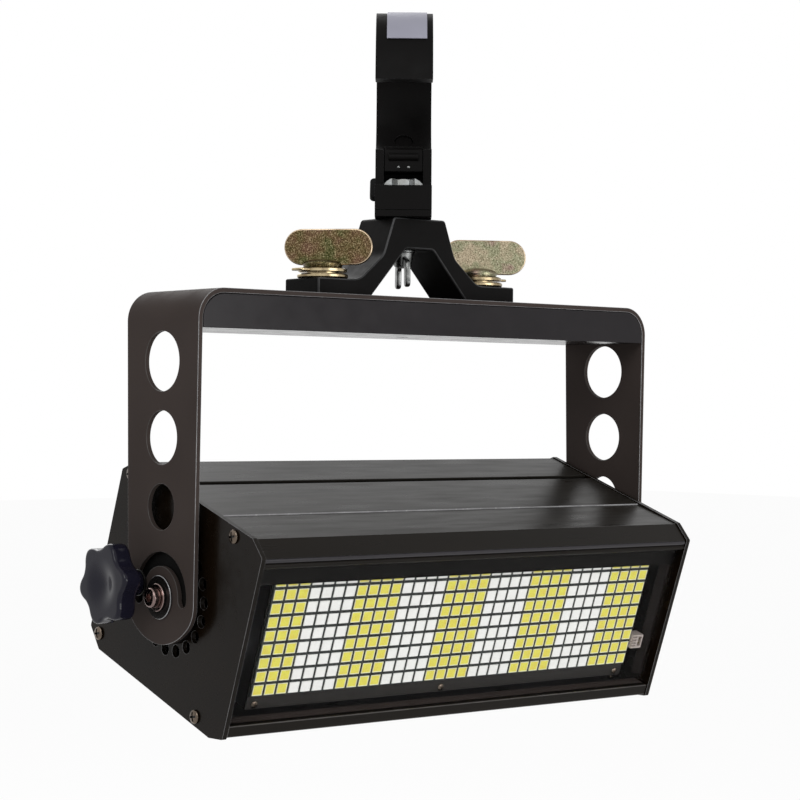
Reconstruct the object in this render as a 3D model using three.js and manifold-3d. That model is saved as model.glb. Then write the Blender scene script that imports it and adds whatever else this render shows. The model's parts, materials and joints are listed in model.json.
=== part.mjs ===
// A strobe light in a bent yoke, hung from a 50 mm tube by a hook clamp and an omega bracket.
// Millimetres, +Z up, +X to the right seen from the front, the light's front towards -Y.
// The origin is on the axis of the tube, in the middle of the clamp.
import * as THREE from "three";
import { mergeVertices } from "three/addons/utils/BufferGeometryUtils.js";
import Module from "manifold-3d";

const wasm = await Module();
wasm.setup();

// Clearances
const seatGap = 0.3;
const shaftGap = 0.3;
const overrun = 5;

// Hook clamp
const tubeDiameter = 50;
const clampYawDegrees = -39.9;
const clampWidth = 29.6;
const hookFront = 37.5;
const hookRear = 40;
const hookTop = 46.5;
const hookTipHeight = 7;
const hookTipThickness = 12;
const baseDrop = 45.8;
const baseThickness = 12.6;
const baseFront = 22;
const cheekFront = 4;
const cheekThickness = 5.6;
const rearWallStart = 12.5;
const bossReach = 52;
const bossHalfWidth = 9;
const saddleThickness = 12;
const rivetDiameter = 1.9;
const rivetSpacing = 5.3;
const rivetHeight = 0.5;
const rivetSinkShare = 0.5;
const rivetPlaceShare = 0.2;

// Clamp screw with its flag handle
const screwPitchDegrees = -47;
const screwDiameter = 9.6;
const screwHubDiameter = 15;
const screwHubLength = 8;
const screwHubLift = 2;
const flagReach = 18.2;
const flagWidth = 17;
const flagThickness = 3.6;

// Hanging bolt, its washer and the swivel plate
const boltDiameter = 8;
const boltHeadAcross = 12;
const boltHeadHeight = 6.2;
const boltWasherRadius = 10.8;
const boltWasherHeight = 5.6;
const swivelPlateThickness = 3.3;
const swivelPlateDepth = 40;
const boltTail = 10;

// Wing nut under the arch
const nutHubDiameter = 13;
const nutHubHeight = 10;
const nutNeckShare = 0.72;
const nutWingShare = 0.64;
const nutWingReach = 14.6;
const nutWingDrop = 11;
const nutWingThickness = 3.4;
const nutWingYawDegrees = 62;

// Plate on the front of the hook
const plateWidth = 20.8;
const plateThickness = 0.6;
const plateLowAngleDegrees = 41;
const plateHighAngleDegrees = 76;

// Omega bracket
const bracketHeight = 42;
const bracketDepth = 28;
const bracketTopHalf = 17.4;
const bracketWaistHalf = 24;
const bracketWaistHeight = 22.3;
const bracketFootStart = 41;
const bracketHalfLength = 67;
const bracketFootHeight = 8.6;
const bracketCrown = 16;
const archTopHalf = 9.2;
const archFootHalf = 32.6;
const bracketFilletShare = 0.45;

// Quarter-turn fasteners
const fastenerOffset = 53.5;
const studDiameter = 9;
const discDiameter = 26.2;
const discHeight = 2.2;
const discNeckDiameter = 16;
const discNeckHeight = 0.9;
const tabReach = 17.4;
const tabWidth = 9;
const wingBaseDiameter = 20.6;
const wingBaseHeight = 4.6;
const wingLength = 47;
const wingHeight = 18.6;
const wingThickness = 3.2;
const wingSink = 3.4;
const wingShift = 2.2;
const leftWingYawDegrees = -50;
const rightWingYawDegrees = -30;
const receptacleLength = 34;
const receptacleWidth = 22;
const receptacleThickness = 3;
const studTail = 9;

// Yoke
const yokeSpan = 303.4;
const strapThickness = 2.4;
const strapWidth = 61.6;
const bendRadius = 15;
const pivotDrop = 149.7;
const armFootWidth = 56.4;
const armFootRadius = 34;
const armFootDrop = 23;
const armFootCorner = 15;
const holeDiameters = [29.3, 26.3, 22.5];
const holeDrops = [35.2, 72.2, 105.9];
const channelHeight = 17;
const channelWall = 2;
const channelHoleDiameter = 6.5;
const slotRadius = 18.6;
const slotWidth = 6.9;
const slotOverswingDegrees = 2;

// Tilt lock
const tiltDegrees = 19.3;
const armGap = 4.9;
const bushDiameter = 12;
const bushFlangeDiameter = 21.4;
const bushFlangeThickness = 0.9;
const pivotWasherDiameter = 13.6;
const pivotWasherThickness = 1.1;
const pivotHeadDiameter = 9.8;
const pivotHeadHeight = 3.9;
const pivotShankDiameter = 6;
const pivotSocketDiameter = 5;
const pivotSocketDepth = 2.4;
const pivotShankTail = 8;
const frictionDiscDiameter = 46;
const knobDiameter = 41.4;
const knobLobes = 6;
const knobFacets = 48;
const knobValleyShare = 0.79;
const knobThickness = 10.4;
const knobEdge = 0.8;
const knobHubDiameter = 22;
const knobHubLength = 5.4;
const knobDishDiameter = 24;
const knobDishDepth = 2.6;
const knobReach = 22.5;
const knobStudDiameter = 6;
const knobStudTail = 9;
const knobWasherThickness = 1.2;

// Housing
const housingHeight = 102.4;
const housingFront = 61.4;
const housingRear = 63.2;
const frontBevelDepth = 10.1;
const topBevelDrop = 6;
const lowBevelDrop = 3.8;
const rearBevelDepth = 11;
const rearBevelDrop = 8.4;
const endPlateThickness = 2.6;
const panelInset = 0.6;
const sheet = 1.6;
const grooveFront = 19;
const grooveRear = 23.4;
const grooveDepth = 3;
const ridgeLine = -20.5;
const ridgeStep = 0.5;
const beadDiameter = 2.7;
const windowTopDrop = 11.8;
const windowLowRise = 10.2;
const lipReturn = 4;
const rearCoverLap = 24;

// Ring of vent holes and the end screws
const ventRadius = 26.5;
const ventDiameter = 6.4;
const ventCount = 18;
const ventTurnShare = 0.2;
const endScrewDiameter = 6.8;
const endScrewHeight = 1.5;
const endScrewShank = 3;
const endScrewTail = 6;
const frontScrewPlace = -37.5;
const frontScrewDrop = 4.7;
const rearScrewPlace = 54.3;
const rearScrewDrop = 7.8;

// Window, LED board and what stands round them
const glassThickness = 3;
const glassSetback = 2.6;
const maskDrop = 10.5;
const maskThickness = 1;
const ledColumns = 35;
const ledRows = 9;
const ledWidthShare = 0.83;
const ledFieldRise = 7.84;
const ledFieldDrop = 5.7;
const ledHeightShare = 0.79;
const ledProud = 1.5;
const ledFace = -53.5;
const boardThickness = 1.6;
const boardSideGap = 17.4;
const boardMargin = 1;
const boardRise = 3.4;
const boardDrop = 1.4;
const cheekBoardGap = 11;
const windowCheekThickness = 1.4;
const connectorWidth = 8;
const connectorHeight = 10;
const connectorDepth = 6;
const connectorRise = 20.6;
const connectorSlotWidth = 2.2;
const connectorSlotDepth = 3;

// Inner works
const sinkBase = 4;
const sinkFinHeight = 16;
const sinkFinThickness = 2;
const sinkFinCount = 24;
const sinkInset = 1;
const sinkDrop = 1;
const supplyLength = 150;
const supplyHeight = 34;
const supplyDepth = 44;
const supplyWall = 1.4;
const supplyPlaceShare = 0.33;
const fanSize = 60;
const fanDepth = 15;
const fanBore = 56;
const fanHubDiameter = 22;
const fanBladeCount = 7;
const fanBladeThickness = 1.6;
const fanBladeTwistDegrees = 32;
const fanPlaceShare = -0.61;
const fanStrutWidth = 5;
const fanStrutThickness = 2;
const fanGap = 1;

// Rear connectors, menu buttons and the safety eyelet
const powerDiameter = 26;
const powerFlange = 32;
const powerDepth = 22;
const powerBore = 19;
const dataDiameter = 20;
const dataFlange = 26;
const dataDepth = 18;
const dataBore = 15;
const flangeThickness = 2;
const socketFloor = 3;
const powerPlaceShares = [0.415, 0.692];
const dataPlaceShares = [-0.139, 0.083];
const socketRise = 20.8;
const bezelWidth = 62;
const bezelHeight = 30;
const bezelThickness = 2.4;
const bezelPlaceShare = -0.028;
const bezelLevel = 18;
const screenWidth = 30;
const screenHeight = 14;
const buttonDiameter = 6.4;
const buttonPitch = 12.4;
const buttonShares = [-1.5, -0.5, 0.5, 1.5];
const buttonProud = 1.6;
const buttonTail = 4;
const buttonDrop = 9;
const screenRise = 4;
const eyeletPlaceShare = 0.415;
const eyeletLevel = 22;
const eyeletOuter = 26;
const eyeletBore = 15;
const eyeletThickness = 4;
const eyeletFootWidth = 20;
const eyeletFootHeight = 16;
const eyeletFootThickness = 2.5;

// Places worked out from the sizes above
const tubeRadius = tubeDiameter / 2;
const baseTopZ = -baseDrop;
const baseBottomZ = baseTopZ - baseThickness;
const swivelTopZ = baseBottomZ - seatGap;
const swivelBottomZ = swivelTopZ - swivelPlateThickness;
const bracketTopZ = swivelBottomZ - seatGap;
const bracketBottomZ = bracketTopZ - bracketHeight;
const bracketFootTopZ = bracketBottomZ + bracketFootHeight;
const archTopZ = bracketTopZ - bracketCrown;
const yokeTopZ = bracketBottomZ - seatGap;
const pivotZ = yokeTopZ - pivotDrop;
const channelTopZ = yokeTopZ - strapThickness - seatGap;
const channelBottomZ = yokeTopZ - strapThickness - channelHeight;
const armInner = yokeSpan / 2 - strapThickness;
const housingHalfWidth = armInner - armGap;
const panelHalf = housingHalfWidth - endPlateThickness - seatGap;
const halfHeight = housingHeight / 2;
const windowTop = halfHeight - windowTopDrop;
const windowBottom = windowLowRise - halfHeight;
const maskEdge = windowTop - maskDrop;
const frontScrewHeight = halfHeight - frontScrewDrop;
const rearScrewHeight = halfHeight - rearScrewDrop;
const socketHeight = rearBevelDrop + socketRise - halfHeight;
const glassFront = -housingFront + glassSetback;
const glassRear = glassFront + glassThickness;
const boardFront = ledFace + ledProud;
const boardRear = boardFront + boardThickness;
const boardHalfWidth = housingHalfWidth - boardSideGap;
const boardBottom = windowBottom + boardRise;
const boardTop = windowTop - boardDrop;
const sinkTop = boardTop - sinkDrop;
const connectorPlace = boardBottom + connectorRise;
const sinkHalfWidth = boardHalfWidth - sinkInset;
const ledPitchX = (2 * (boardHalfWidth - boardMargin)) / (ledColumns - 1 + ledWidthShare);
const ledWidth = ledPitchX * ledWidthShare;
const ledFieldHeight = boardTop - boardBottom - ledFieldRise - ledFieldDrop;
const ledPitchZ = ledFieldHeight / (ledRows - 1 + ledHeightShare);
const ledHeight = ledPitchZ * ledHeightShare;
const ledRowLow = boardBottom + ledFieldRise + ledHeight / 2;
const fanPlace = housingHalfWidth * fanPlaceShare;
const supplyOffset = housingHalfWidth * supplyPlaceShare;
const powerPlaces = powerPlaceShares.map((share) => housingHalfWidth * share);
const dataPlaces = dataPlaceShares.map((share) => housingHalfWidth * share);
const bezelPlace = housingHalfWidth * bezelPlaceShare;
const eyeletPlace = housingHalfWidth * eyeletPlaceShare;
const buttonPlaces = buttonShares.map((share) => bezelPlace + share * buttonPitch);

// Finishes
function finish(color, roughness, metalness) {
  return new THREE.MeshStandardMaterial({ color, roughness, metalness, flatShading: true });
}
const blackPaint = finish(0x2e2b2a, 0.45, 0.2);
const blackPowder = finish(0x353230, 0.55, 0.2);
const blackGloss = finish(0x17171c, 0.25, 0);
const knobPlastic = finish(0x26262e, 0.3, 0);
const castBlack = finish(0x222226, 0.4, 0.4);
const zinc = finish(0xb9b09a, 0.35, 1);
const yellowZinc = finish(0xa89c76, 0.4, 1);
const steel = finish(0xc3c6ca, 0.3, 1);
const plateGrey = finish(0x9b9ba6, 0.5, 0.3);
const screwBronze = finish(0xa79a8e, 0.35, 1);
const rubber = finish(0x151515, 0.9, 0);
const clearGlass = finish(0xdfe6e8, 0.05, 0);
clearGlass.transparent = true;
clearGlass.opacity = 0.2;
const whitePlastic = finish(0xe6e4dc, 0.5, 0);
const bareAluminium = finish(0xb5b7ba, 0.4, 1);
const socketBlue = finish(0x2b3f78, 0.4, 0);
const socketGrey = finish(0x8b8d90, 0.4, 0.6);
const screenDark = finish(0x10141a, 0.2, 0);

// Closed geometry to solid and back
function solidOf(geometry) {
  const bare = geometry.index ? geometry.toNonIndexed() : geometry.clone();
  bare.deleteAttribute("normal");
  bare.deleteAttribute("uv");
  const merged = mergeVertices(bare, 1e-4);
  const body = new wasm.Mesh({
    numProp: 3,
    vertProperties: merged.attributes.position.array,
    triVerts: new Uint32Array(merged.index.array),
  });
  return new wasm.Manifold(body);
}

function meshOf(name, solid, material) {
  const body = solid.getMesh();
  const geometry = new THREE.BufferGeometry();
  geometry.setAttribute("position", new THREE.BufferAttribute(new Float32Array(body.vertProperties), 3));
  geometry.setIndex(new THREE.BufferAttribute(new Uint32Array(body.triVerts), 1));
  geometry.computeVertexNormals();
  const mesh = new THREE.Mesh(geometry, material);
  mesh.name = name;
  return mesh;
}

function joined(solids) {
  return solids.reduce((whole, next) => whole.add(next));
}

function cutBy(solid, cutters) {
  return cutters.reduce((rest, cutter) => rest.subtract(cutter), solid);
}

function moved(geometry, x, y, z) {
  return geometry.translate(x, y, z);
}

// Basic shapes
function boxBetween(low, high) {
  const size = high.map((value, axis) => value - low[axis]);
  const box = new THREE.BoxGeometry(...size);
  return solidOf(moved(box, ...low.map((value, axis) => value + size[axis] / 2)));
}

function shapeOf(points, holes = []) {
  const shape = new THREE.Shape(points.map(([a, b]) => new THREE.Vector2(a, b)));
  shape.holes = holes;
  return shape;
}

function circlePath(a, b, radius) {
  return new THREE.Path().absarc(a, b, radius, 0, 2 * Math.PI, true);
}

// A shape drawn in (y, z) and drawn out along X from x0 to x1
function alongX(shape, x0, x1, curveSegments = 12) {
  const body = new THREE.ExtrudeGeometry(shape, { depth: x1 - x0, bevelEnabled: false, curveSegments });
  const turn = new THREE.Matrix4().set(0, 0, 1, x0, 1, 0, 0, 0, 0, 1, 0, 0, 0, 0, 0, 1);
  return solidOf(body.applyMatrix4(turn));
}

// A shape drawn in (x, z) and drawn out along Y from y0 to y1
function alongY(shape, y0, y1, curveSegments = 12) {
  const body = new THREE.ExtrudeGeometry(shape, { depth: y1 - y0, bevelEnabled: false, curveSegments });
  return solidOf(body.rotateX(Math.PI / 2).translate(0, y1, 0));
}

// A shape drawn in (x, y) and drawn out along Z from z0 to z1
function alongZ(shape, z0, z1, curveSegments = 12) {
  const body = new THREE.ExtrudeGeometry(shape, { depth: z1 - z0, bevelEnabled: false, curveSegments });
  return solidOf(body.translate(0, 0, z0));
}

// A turned body: points are [radius, height] from the axis and back to it
function turned(points, segments = 20) {
  return new THREE.LatheGeometry(points.map(([r, h]) => new THREE.Vector2(r, h)), segments);
}

function turnedZ(points, x, y, z, segments) {
  return solidOf(turned(points, segments).rotateX(Math.PI / 2).translate(x, y, z));
}

// Turned about X with its heights pointing outwards, towards -X on the left side and +X on the right
function turnedX(points, side, x, y, z, segments) {
  const body = turned(points, segments).rotateZ((-side * Math.PI) / 2);
  return solidOf(body.translate(x, y, z));
}

function discProfile(radius, low, high) {
  return [[0, low], [radius, low], [radius, high], [0, high]];
}

function arcPoints(centreA, centreB, radiusA, radiusB, fromDegrees, toDegrees, steps) {
  const points = [];
  for (let i = 0; i <= steps; i += 1) {
    const angle = THREE.MathUtils.degToRad(fromDegrees + ((toDegrees - fromDegrees) * i) / steps);
    points.push([centreA + radiusA * Math.cos(angle), centreB + radiusB * Math.sin(angle)]);
  }
  return points;
}

// The corners of a whole circle, its last point not repeated
function roundPoints(centreA, centreB, radius, steps) {
  return arcPoints(centreA, centreB, radius, radius, 0, 360, steps).slice(1);
}

function radians(degrees) {
  return THREE.MathUtils.degToRad(degrees);
}

const root = new THREE.Group();
const clampGroup = new THREE.Group();
clampGroup.rotation.z = radians(clampYawDegrees);
const headGroup = new THREE.Group();
headGroup.position.z = pivotZ;
headGroup.rotation.x = radians(tiltDegrees);
root.add(clampGroup, headGroup);

// Hook clamp: in its own group the tube runs along X and the front is towards -Y
const boreRadius = tubeRadius + seatGap;
const screwAngle = radians(screwPitchDegrees);
const screwAxis = [Math.cos(screwAngle), Math.sin(screwAngle)];

function besideScrew(reach, side) {
  return [screwAxis[0] * reach - screwAxis[1] * side, screwAxis[1] * reach + screwAxis[0] * side];
}

function hookOutline() {
  const tipAngle = 180 - THREE.MathUtils.radToDeg(Math.asin(hookTipHeight / boreRadius));
  const bore = arcPoints(0, 0, boreRadius, boreRadius, tipAngle, -98, 30);
  const crown = [
    ...arcPoints(0, 0, hookRear, hookTop, 0, 90, 8),
    ...arcPoints(0, 0, hookFront, hookTop, 90, 168, 8).slice(1),
  ];
  const outside = [
    [-cheekFront, -boreRadius],
    [-cheekFront, baseTopZ],
    [-baseFront, baseTopZ],
    [-baseFront, baseBottomZ],
    [baseFront, baseBottomZ],
    [baseFront, baseTopZ],
    besideScrew(bossReach, -bossHalfWidth),
    besideScrew(bossReach, bossHalfWidth),
    [hookRear, -cheekFront],
  ];
  const tip = [[-boreRadius - hookTipThickness, hookTipHeight]];
  return shapeOf([...bore, ...outside, ...crown, ...tip]);
}

// The turn that lays a body made along +Z onto the screw's axis, pointing away from the tube
function onScrewAxis(geometry) {
  return geometry.rotateX(-(Math.PI / 2 - screwAngle));
}

function clampHook() {
  const half = clampWidth / 2;
  const body = alongX(hookOutline(), -half, half);
  const channelHalf = half - cheekThickness;
  const channel = boxBetween(
    [-channelHalf, -baseFront - overrun, baseTopZ],
    [channelHalf, rearWallStart, -boreRadius + cheekFront],
  );
  const boltDrill = discProfile(boltDiameter / 2 + shaftGap, baseBottomZ - overrun, baseTopZ + overrun);
  const screwDrill = discProfile(screwDiameter / 2 + shaftGap, boreRadius - overrun, bossReach + overrun);
  const screwHole = solidOf(onScrewAxis(turned(screwDrill).rotateX(Math.PI / 2)));
  return cutBy(body, [channel, turnedZ(boltDrill, 0, 0, 0), screwHole]);
}

function tubeSaddle() {
  const half = clampWidth / 2 - cheekThickness - seatGap;
  const front = -cheekFront + seatGap;
  const back = rearWallStart - seatGap;
  const low = -tubeRadius - saddleThickness;
  const reach = boreRadius + seatGap;
  const arc = arcPoints(0, 0, reach, reach, -90 + THREE.MathUtils.radToDeg(Math.asin(back / reach)),
    -90 + THREE.MathUtils.radToDeg(Math.asin(front / reach)), 6);
  const block = alongX(shapeOf([[front, low], [back, low], ...arc]), -half, half);
  const rivets = [-1, 1].map((side) => {
    const stem = turned(discProfile(rivetDiameter / 2, -rivetHeight * rivetSinkShare, rivetHeight), 10);
    const height = low + saddleThickness * rivetPlaceShare;
    return solidOf(moved(stem.rotateX(Math.PI), (side * rivetSpacing) / 2, front, height));
  });
  return joined([block, ...rivets]);
}

function clampScrew() {
  const hubLow = bossReach + screwHubLift;
  const hubHigh = hubLow + screwHubLength;
  const shaft = turned([
    [0, tubeRadius + seatGap * 2],
    [screwDiameter / 2, tubeRadius + seatGap * 2],
    [screwDiameter / 2, hubLow],
    [screwHubDiameter / 2, hubLow],
    [screwHubDiameter / 2, hubHigh],
    [0, hubHigh],
  ], 16);
  const flag = new THREE.BoxGeometry(flagReach, flagWidth, flagThickness);
  const lift = (hubLow + hubHigh) / 2;
  const turnedFlag = flag.translate(-flagReach / 2, 0, lift);
  return joined([solidOf(onScrewAxis(shaft.rotateX(Math.PI / 2))), solidOf(onScrewAxis(turnedFlag))]);
}

// A six-sided bar along Z, its size given across its flats
function hexagonBar(across, height) {
  const radius = across / Math.sqrt(3);
  return new THREE.CylinderGeometry(radius, radius, height, 6).rotateX(Math.PI / 2).rotateZ(Math.PI / 6);
}

function hangingBolt() {
  const head = hexagonBar(boltHeadAcross, boltHeadHeight);
  const headLow = baseTopZ + seatGap;
  const shankLow = archTopZ - nutHubHeight - boltTail;
  return joined([
    solidOf(moved(head, 0, 0, headLow + boltHeadHeight / 2)),
    turnedZ(discProfile(boltDiameter / 2, shankLow, headLow + seatGap), 0, 0, 0, 16),
  ]);
}

// A domed washer, cut flat at the front, narrowed between the cheeks and hollow for the bolt's head
function boltWasher() {
  const dome = arcPoints(0, 0, boltWasherRadius, boltWasherHeight, 0, 90, 6);
  const domed = turnedZ([[0, 0], ...dome.slice(0, -1), [0, boltWasherHeight]], 0, 0, baseTopZ + seatGap, 24);
  const front = -boltHeadAcross / 2 + seatGap;
  const face = boxBetween(
    [-boltWasherRadius - overrun, -boltWasherRadius - overrun, baseTopZ - overrun],
    [boltWasherRadius + overrun, front, baseTopZ + boltWasherHeight + overrun],
  );
  const hollow = hexagonBar(boltHeadAcross + 2 * seatGap, 2 * (boltWasherHeight + overrun));
  const narrow = clampWidth / 2 - cheekThickness - seatGap;
  const reach = boltWasherRadius + overrun;
  const besideLow = baseTopZ - overrun;
  const besideHigh = baseTopZ + boltWasherHeight + overrun;
  const besideCheeks = [[-reach, -narrow], [narrow, reach]].map(([near, far]) =>
    boxBetween([near, -cheekFront - seatGap, besideLow], [far, reach, besideHigh]));
  return cutBy(domed, [face, solidOf(moved(hollow, 0, 0, baseTopZ)), ...besideCheeks]);
}

function swivelPlate() {
  const half = clampWidth / 2;
  const rear = swivelPlateDepth - baseFront;
  const plan = shapeOf(
    [[-half, -baseFront], [half, -baseFront], [half, rear], [-half, rear]],
    [circlePath(0, 0, boltDiameter / 2 + shaftGap)],
  );
  return alongZ(plan, swivelBottomZ, swivelTopZ);
}

function hookPlate() {
  const start = 180 - plateLowAngleDegrees;
  const end = 180 - plateHighAngleDegrees;
  const near = arcPoints(0, 0, hookFront + seatGap, hookTop + seatGap, start, end, 5);
  const far = seatGap + plateThickness;
  const outer = arcPoints(0, 0, hookFront + far, hookTop + far, end, start, 5);
  return alongX(shapeOf([...near, ...outer]), -plateWidth / 2, plateWidth / 2);
}

clampGroup.add(
  meshOf("clamp_hook", clampHook(), castBlack),
  meshOf("tube_saddle", tubeSaddle(), blackPaint),
  meshOf("clamp_screw", clampScrew(), castBlack),
  meshOf("hanging_bolt", hangingBolt(), steel),
  meshOf("bolt_washer", boltWasher(), steel),
  meshOf("swivel_plate", swivelPlate(), blackPaint),
  meshOf("hook_plate", hookPlate(), plateGrey),
);

// Omega bracket
function bracketOutline() {
  const footTop = bracketFootTopZ;
  const waist = [bracketWaistHalf, bracketBottomZ + bracketWaistHeight];
  const foot = [bracketFootStart, footTop];
  const bend = [
    waist[0] + (foot[0] - waist[0]) * bracketFilletShare,
    footTop + (waist[1] - footTop) * (1 - bracketFilletShare) * bracketFilletShare,
  ];
  const right = [
    [bracketHalfLength, bracketBottomZ],
    [bracketHalfLength, footTop],
    foot,
    bend,
    waist,
    [bracketTopHalf, bracketTopZ],
  ];
  const left = right.map(([x, z]) => [-x, z]).reverse();
  const arch = [
    [-archFootHalf, bracketBottomZ],
    [-archTopHalf, archTopZ],
    [archTopHalf, archTopZ],
    [archFootHalf, bracketBottomZ],
  ];
  return shapeOf([...right, ...left, ...arch]);
}

function omegaBracket() {
  const body = alongY(bracketOutline(), -bracketDepth / 2, bracketDepth / 2);
  const boltDrill = discProfile(boltDiameter / 2 + shaftGap, archTopZ - overrun, bracketTopZ + overrun);
  const drillTop = bracketFootTopZ + overrun;
  const studDrill = discProfile(studDiameter / 2 + shaftGap, bracketBottomZ - overrun, drillTop);
  const studHoles = [-1, 1].map((side) => turnedZ(studDrill, side * fastenerOffset, 0, 0, 16));
  return cutBy(body, [turnedZ(boltDrill, 0, 0, 0), ...studHoles]);
}

function wingNut() {
  const top = archTopZ - seatGap;
  const low = top - nutHubHeight;
  const hub = turnedZ([
    [boltDiameter / 2 + shaftGap, low],
    [(nutHubDiameter / 2) * nutNeckShare, low],
    [nutHubDiameter / 2, top],
    [boltDiameter / 2 + shaftGap, top],
    [boltDiameter / 2 + shaftGap, low],
  ], 0, 0, 0, 16);
  const inner = boltDiameter / 2 + shaftGap;
  const wingTop = top - nutHubHeight / 2;
  const wingLow = wingTop - nutWingDrop;
  const wings = [-1, 1].map((side) => {
    const outline = shapeOf([
      [side * inner, low],
      [side * nutWingReach * nutWingShare, wingLow],
      [side * nutWingReach, wingLow],
      [side * nutWingReach, wingTop - nutHubHeight / 4],
      [side * inner, wingTop],
    ]);
    return alongY(outline, -nutWingThickness / 2, nutWingThickness / 2);
  });
  return joined([hub, ...wings]).rotate([0, 0, nutWingYawDegrees]);
}

// Quarter-turn fasteners
const fastenerSeatZ = bracketFootTopZ + seatGap;
const stackHeight = 2 * discHeight + discNeckHeight;
const wingSeatZ = fastenerSeatZ + stackHeight + seatGap;

function fastenerBase(side) {
  const inner = studDiameter / 2 + shaftGap;
  const disc = discDiameter / 2;
  const neck = discNeckDiameter / 2;
  const secondLow = discHeight + discNeckHeight;
  const stack = turnedZ([
    [inner, 0], [disc, 0], [disc, discHeight], [neck, discHeight], [neck, secondLow],
    [disc, secondLow], [disc, stackHeight], [inner, stackHeight], [inner, 0],
  ], side * fastenerOffset, 0, fastenerSeatZ, 24);
  const tabOuter = side * (fastenerOffset + tabReach);
  const tabInner = side * (fastenerOffset + neck);
  const tab = boxBetween(
    [Math.min(tabOuter, tabInner), -tabWidth / 2, fastenerSeatZ + secondLow],
    [Math.max(tabOuter, tabInner), tabWidth / 2, fastenerSeatZ + stackHeight],
  );
  return joined([stack, tab]);
}

function fastenerWing(side, yawDegrees) {
  const x = side * fastenerOffset;
  const base = turnedZ([
    [0, 0], [wingBaseDiameter / 2, 0], [wingBaseDiameter / 2, wingBaseHeight / 2],
    [wingThickness * 2, wingBaseHeight], [0, wingBaseHeight],
  ], 0, 0, wingSeatZ, 24);
  const studLow = channelTopZ - receptacleThickness - studTail;
  const stud = turnedZ(discProfile(studDiameter / 2, studLow, wingSeatZ + seatGap), 0, 0, 0, 12);
  const radius = wingHeight / 2;
  const low = wingSeatZ + wingBaseHeight - wingSink;
  const reach = wingLength / 2 - radius;
  const stadium = shapeOf([
    ...arcPoints(wingShift + reach, low + radius, radius, radius, -90, 90, 10),
    ...arcPoints(wingShift - reach, low + radius, radius, radius, 90, 270, 10),
  ]);
  const wing = alongY(stadium, -wingThickness / 2, wingThickness / 2);
  return joined([base, stud, wing]).rotate([0, 0, yawDegrees]).translate([x, 0, 0]);
}

function receptacle(side) {
  const plan = shapeOf([
    [-receptacleLength / 2, -receptacleWidth / 2], [receptacleLength / 2, -receptacleWidth / 2],
    [receptacleLength / 2, receptacleWidth / 2], [-receptacleLength / 2, receptacleWidth / 2],
  ], [circlePath(0, 0, studDiameter / 2 + shaftGap)]);
  const top = yokeTopZ - strapThickness - seatGap;
  return alongZ(plan, top - receptacleThickness, top).translate([side * fastenerOffset, 0, 0]);
}

root.add(
  meshOf("omega_bracket", omegaBracket(), castBlack),
  meshOf("wing_nut", wingNut(), steel),
);
for (const [word, side, yaw] of [["left", -1, leftWingYawDegrees], ["right", 1, rightWingYawDegrees]]) {
  root.add(
    meshOf(word + "_fastener_base", fastenerBase(side), zinc),
    meshOf(word + "_fastener_wing", fastenerWing(side, yaw), yellowZinc),
    meshOf(word + "_fastener_receptacle", receptacle(side), zinc),
  );
}

// Yoke: the bent strap's front view drawn out in depth, then cut to the arm's side view
function strapOutline() {
  const half = yokeSpan / 2;
  const low = pivotZ - armFootDrop - overrun;
  const inner = bendRadius - strapThickness;
  const innerHalf = half - strapThickness;
  return shapeOf([
    [half, low],
    ...arcPoints(half - bendRadius, yokeTopZ - bendRadius, bendRadius, bendRadius, 0, 90, 8),
    ...arcPoints(-half + bendRadius, yokeTopZ - bendRadius, bendRadius, bendRadius, 90, 180, 8),
    [-half, low],
    [-innerHalf, low],
    ...arcPoints(-half + bendRadius, yokeTopZ - bendRadius, inner, inner, 180, 90, 8),
    ...arcPoints(half - bendRadius, yokeTopZ - bendRadius, inner, inner, 90, 0, 8),
    [innerHalf, low],
  ]);
}

// The arm's side view: a slight taper, then a foot of one wide arc between two tighter corners
function armOutline() {
  const topHalf = strapWidth / 2;
  const footHalf = armFootWidth / 2;
  const low = pivotZ - armFootDrop;
  const wideCentre = low + armFootRadius;
  const cornerY = footHalf - armFootCorner;
  const centreGap = armFootRadius - armFootCorner;
  const cornerZ = wideCentre - Math.sqrt(centreGap * centreGap - cornerY * cornerY);
  const meet = THREE.MathUtils.radToDeg(Math.atan2(cornerZ - wideCentre, cornerY));
  return shapeOf([
    [topHalf, yokeTopZ + overrun],
    [-topHalf, yokeTopZ + overrun],
    [-topHalf, yokeTopZ - bendRadius],
    ...arcPoints(-cornerY, cornerZ, armFootCorner, armFootCorner, 180, 180 - meet, 6),
    ...arcPoints(0, wideCentre, armFootRadius, armFootRadius, 180 - meet, 360 + meet, 8).slice(1, -1),
    ...arcPoints(cornerY, cornerZ, armFootCorner, armFootCorner, meet, 0, 6),
    [topHalf, yokeTopZ - bendRadius],
  ]);
}

// The arc slot, round at both ends, about the pivot
function slotOutline() {
  const outer = slotRadius + slotWidth / 2;
  const inner = slotRadius - slotWidth / 2;
  const from = -slotOverswingDegrees;
  const to = 180 + slotOverswingDegrees;
  const endAt = (degrees) => [
    slotRadius * Math.cos(radians(degrees)),
    pivotZ + slotRadius * Math.sin(radians(degrees)),
  ];
  const [startY, startZ] = endAt(from);
  const [stopY, stopZ] = endAt(to);
  const cap = slotWidth / 2;
  return shapeOf([
    ...arcPoints(0, pivotZ, outer, outer, from, to, 28),
    ...arcPoints(stopY, stopZ, cap, cap, to, to + 180, 6).slice(1, -1),
    ...arcPoints(0, pivotZ, inner, inner, to, from, 22),
    ...arcPoints(startY, startZ, cap, cap, from + 180, from + 360, 6).slice(1, -1),
  ]);
}

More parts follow.
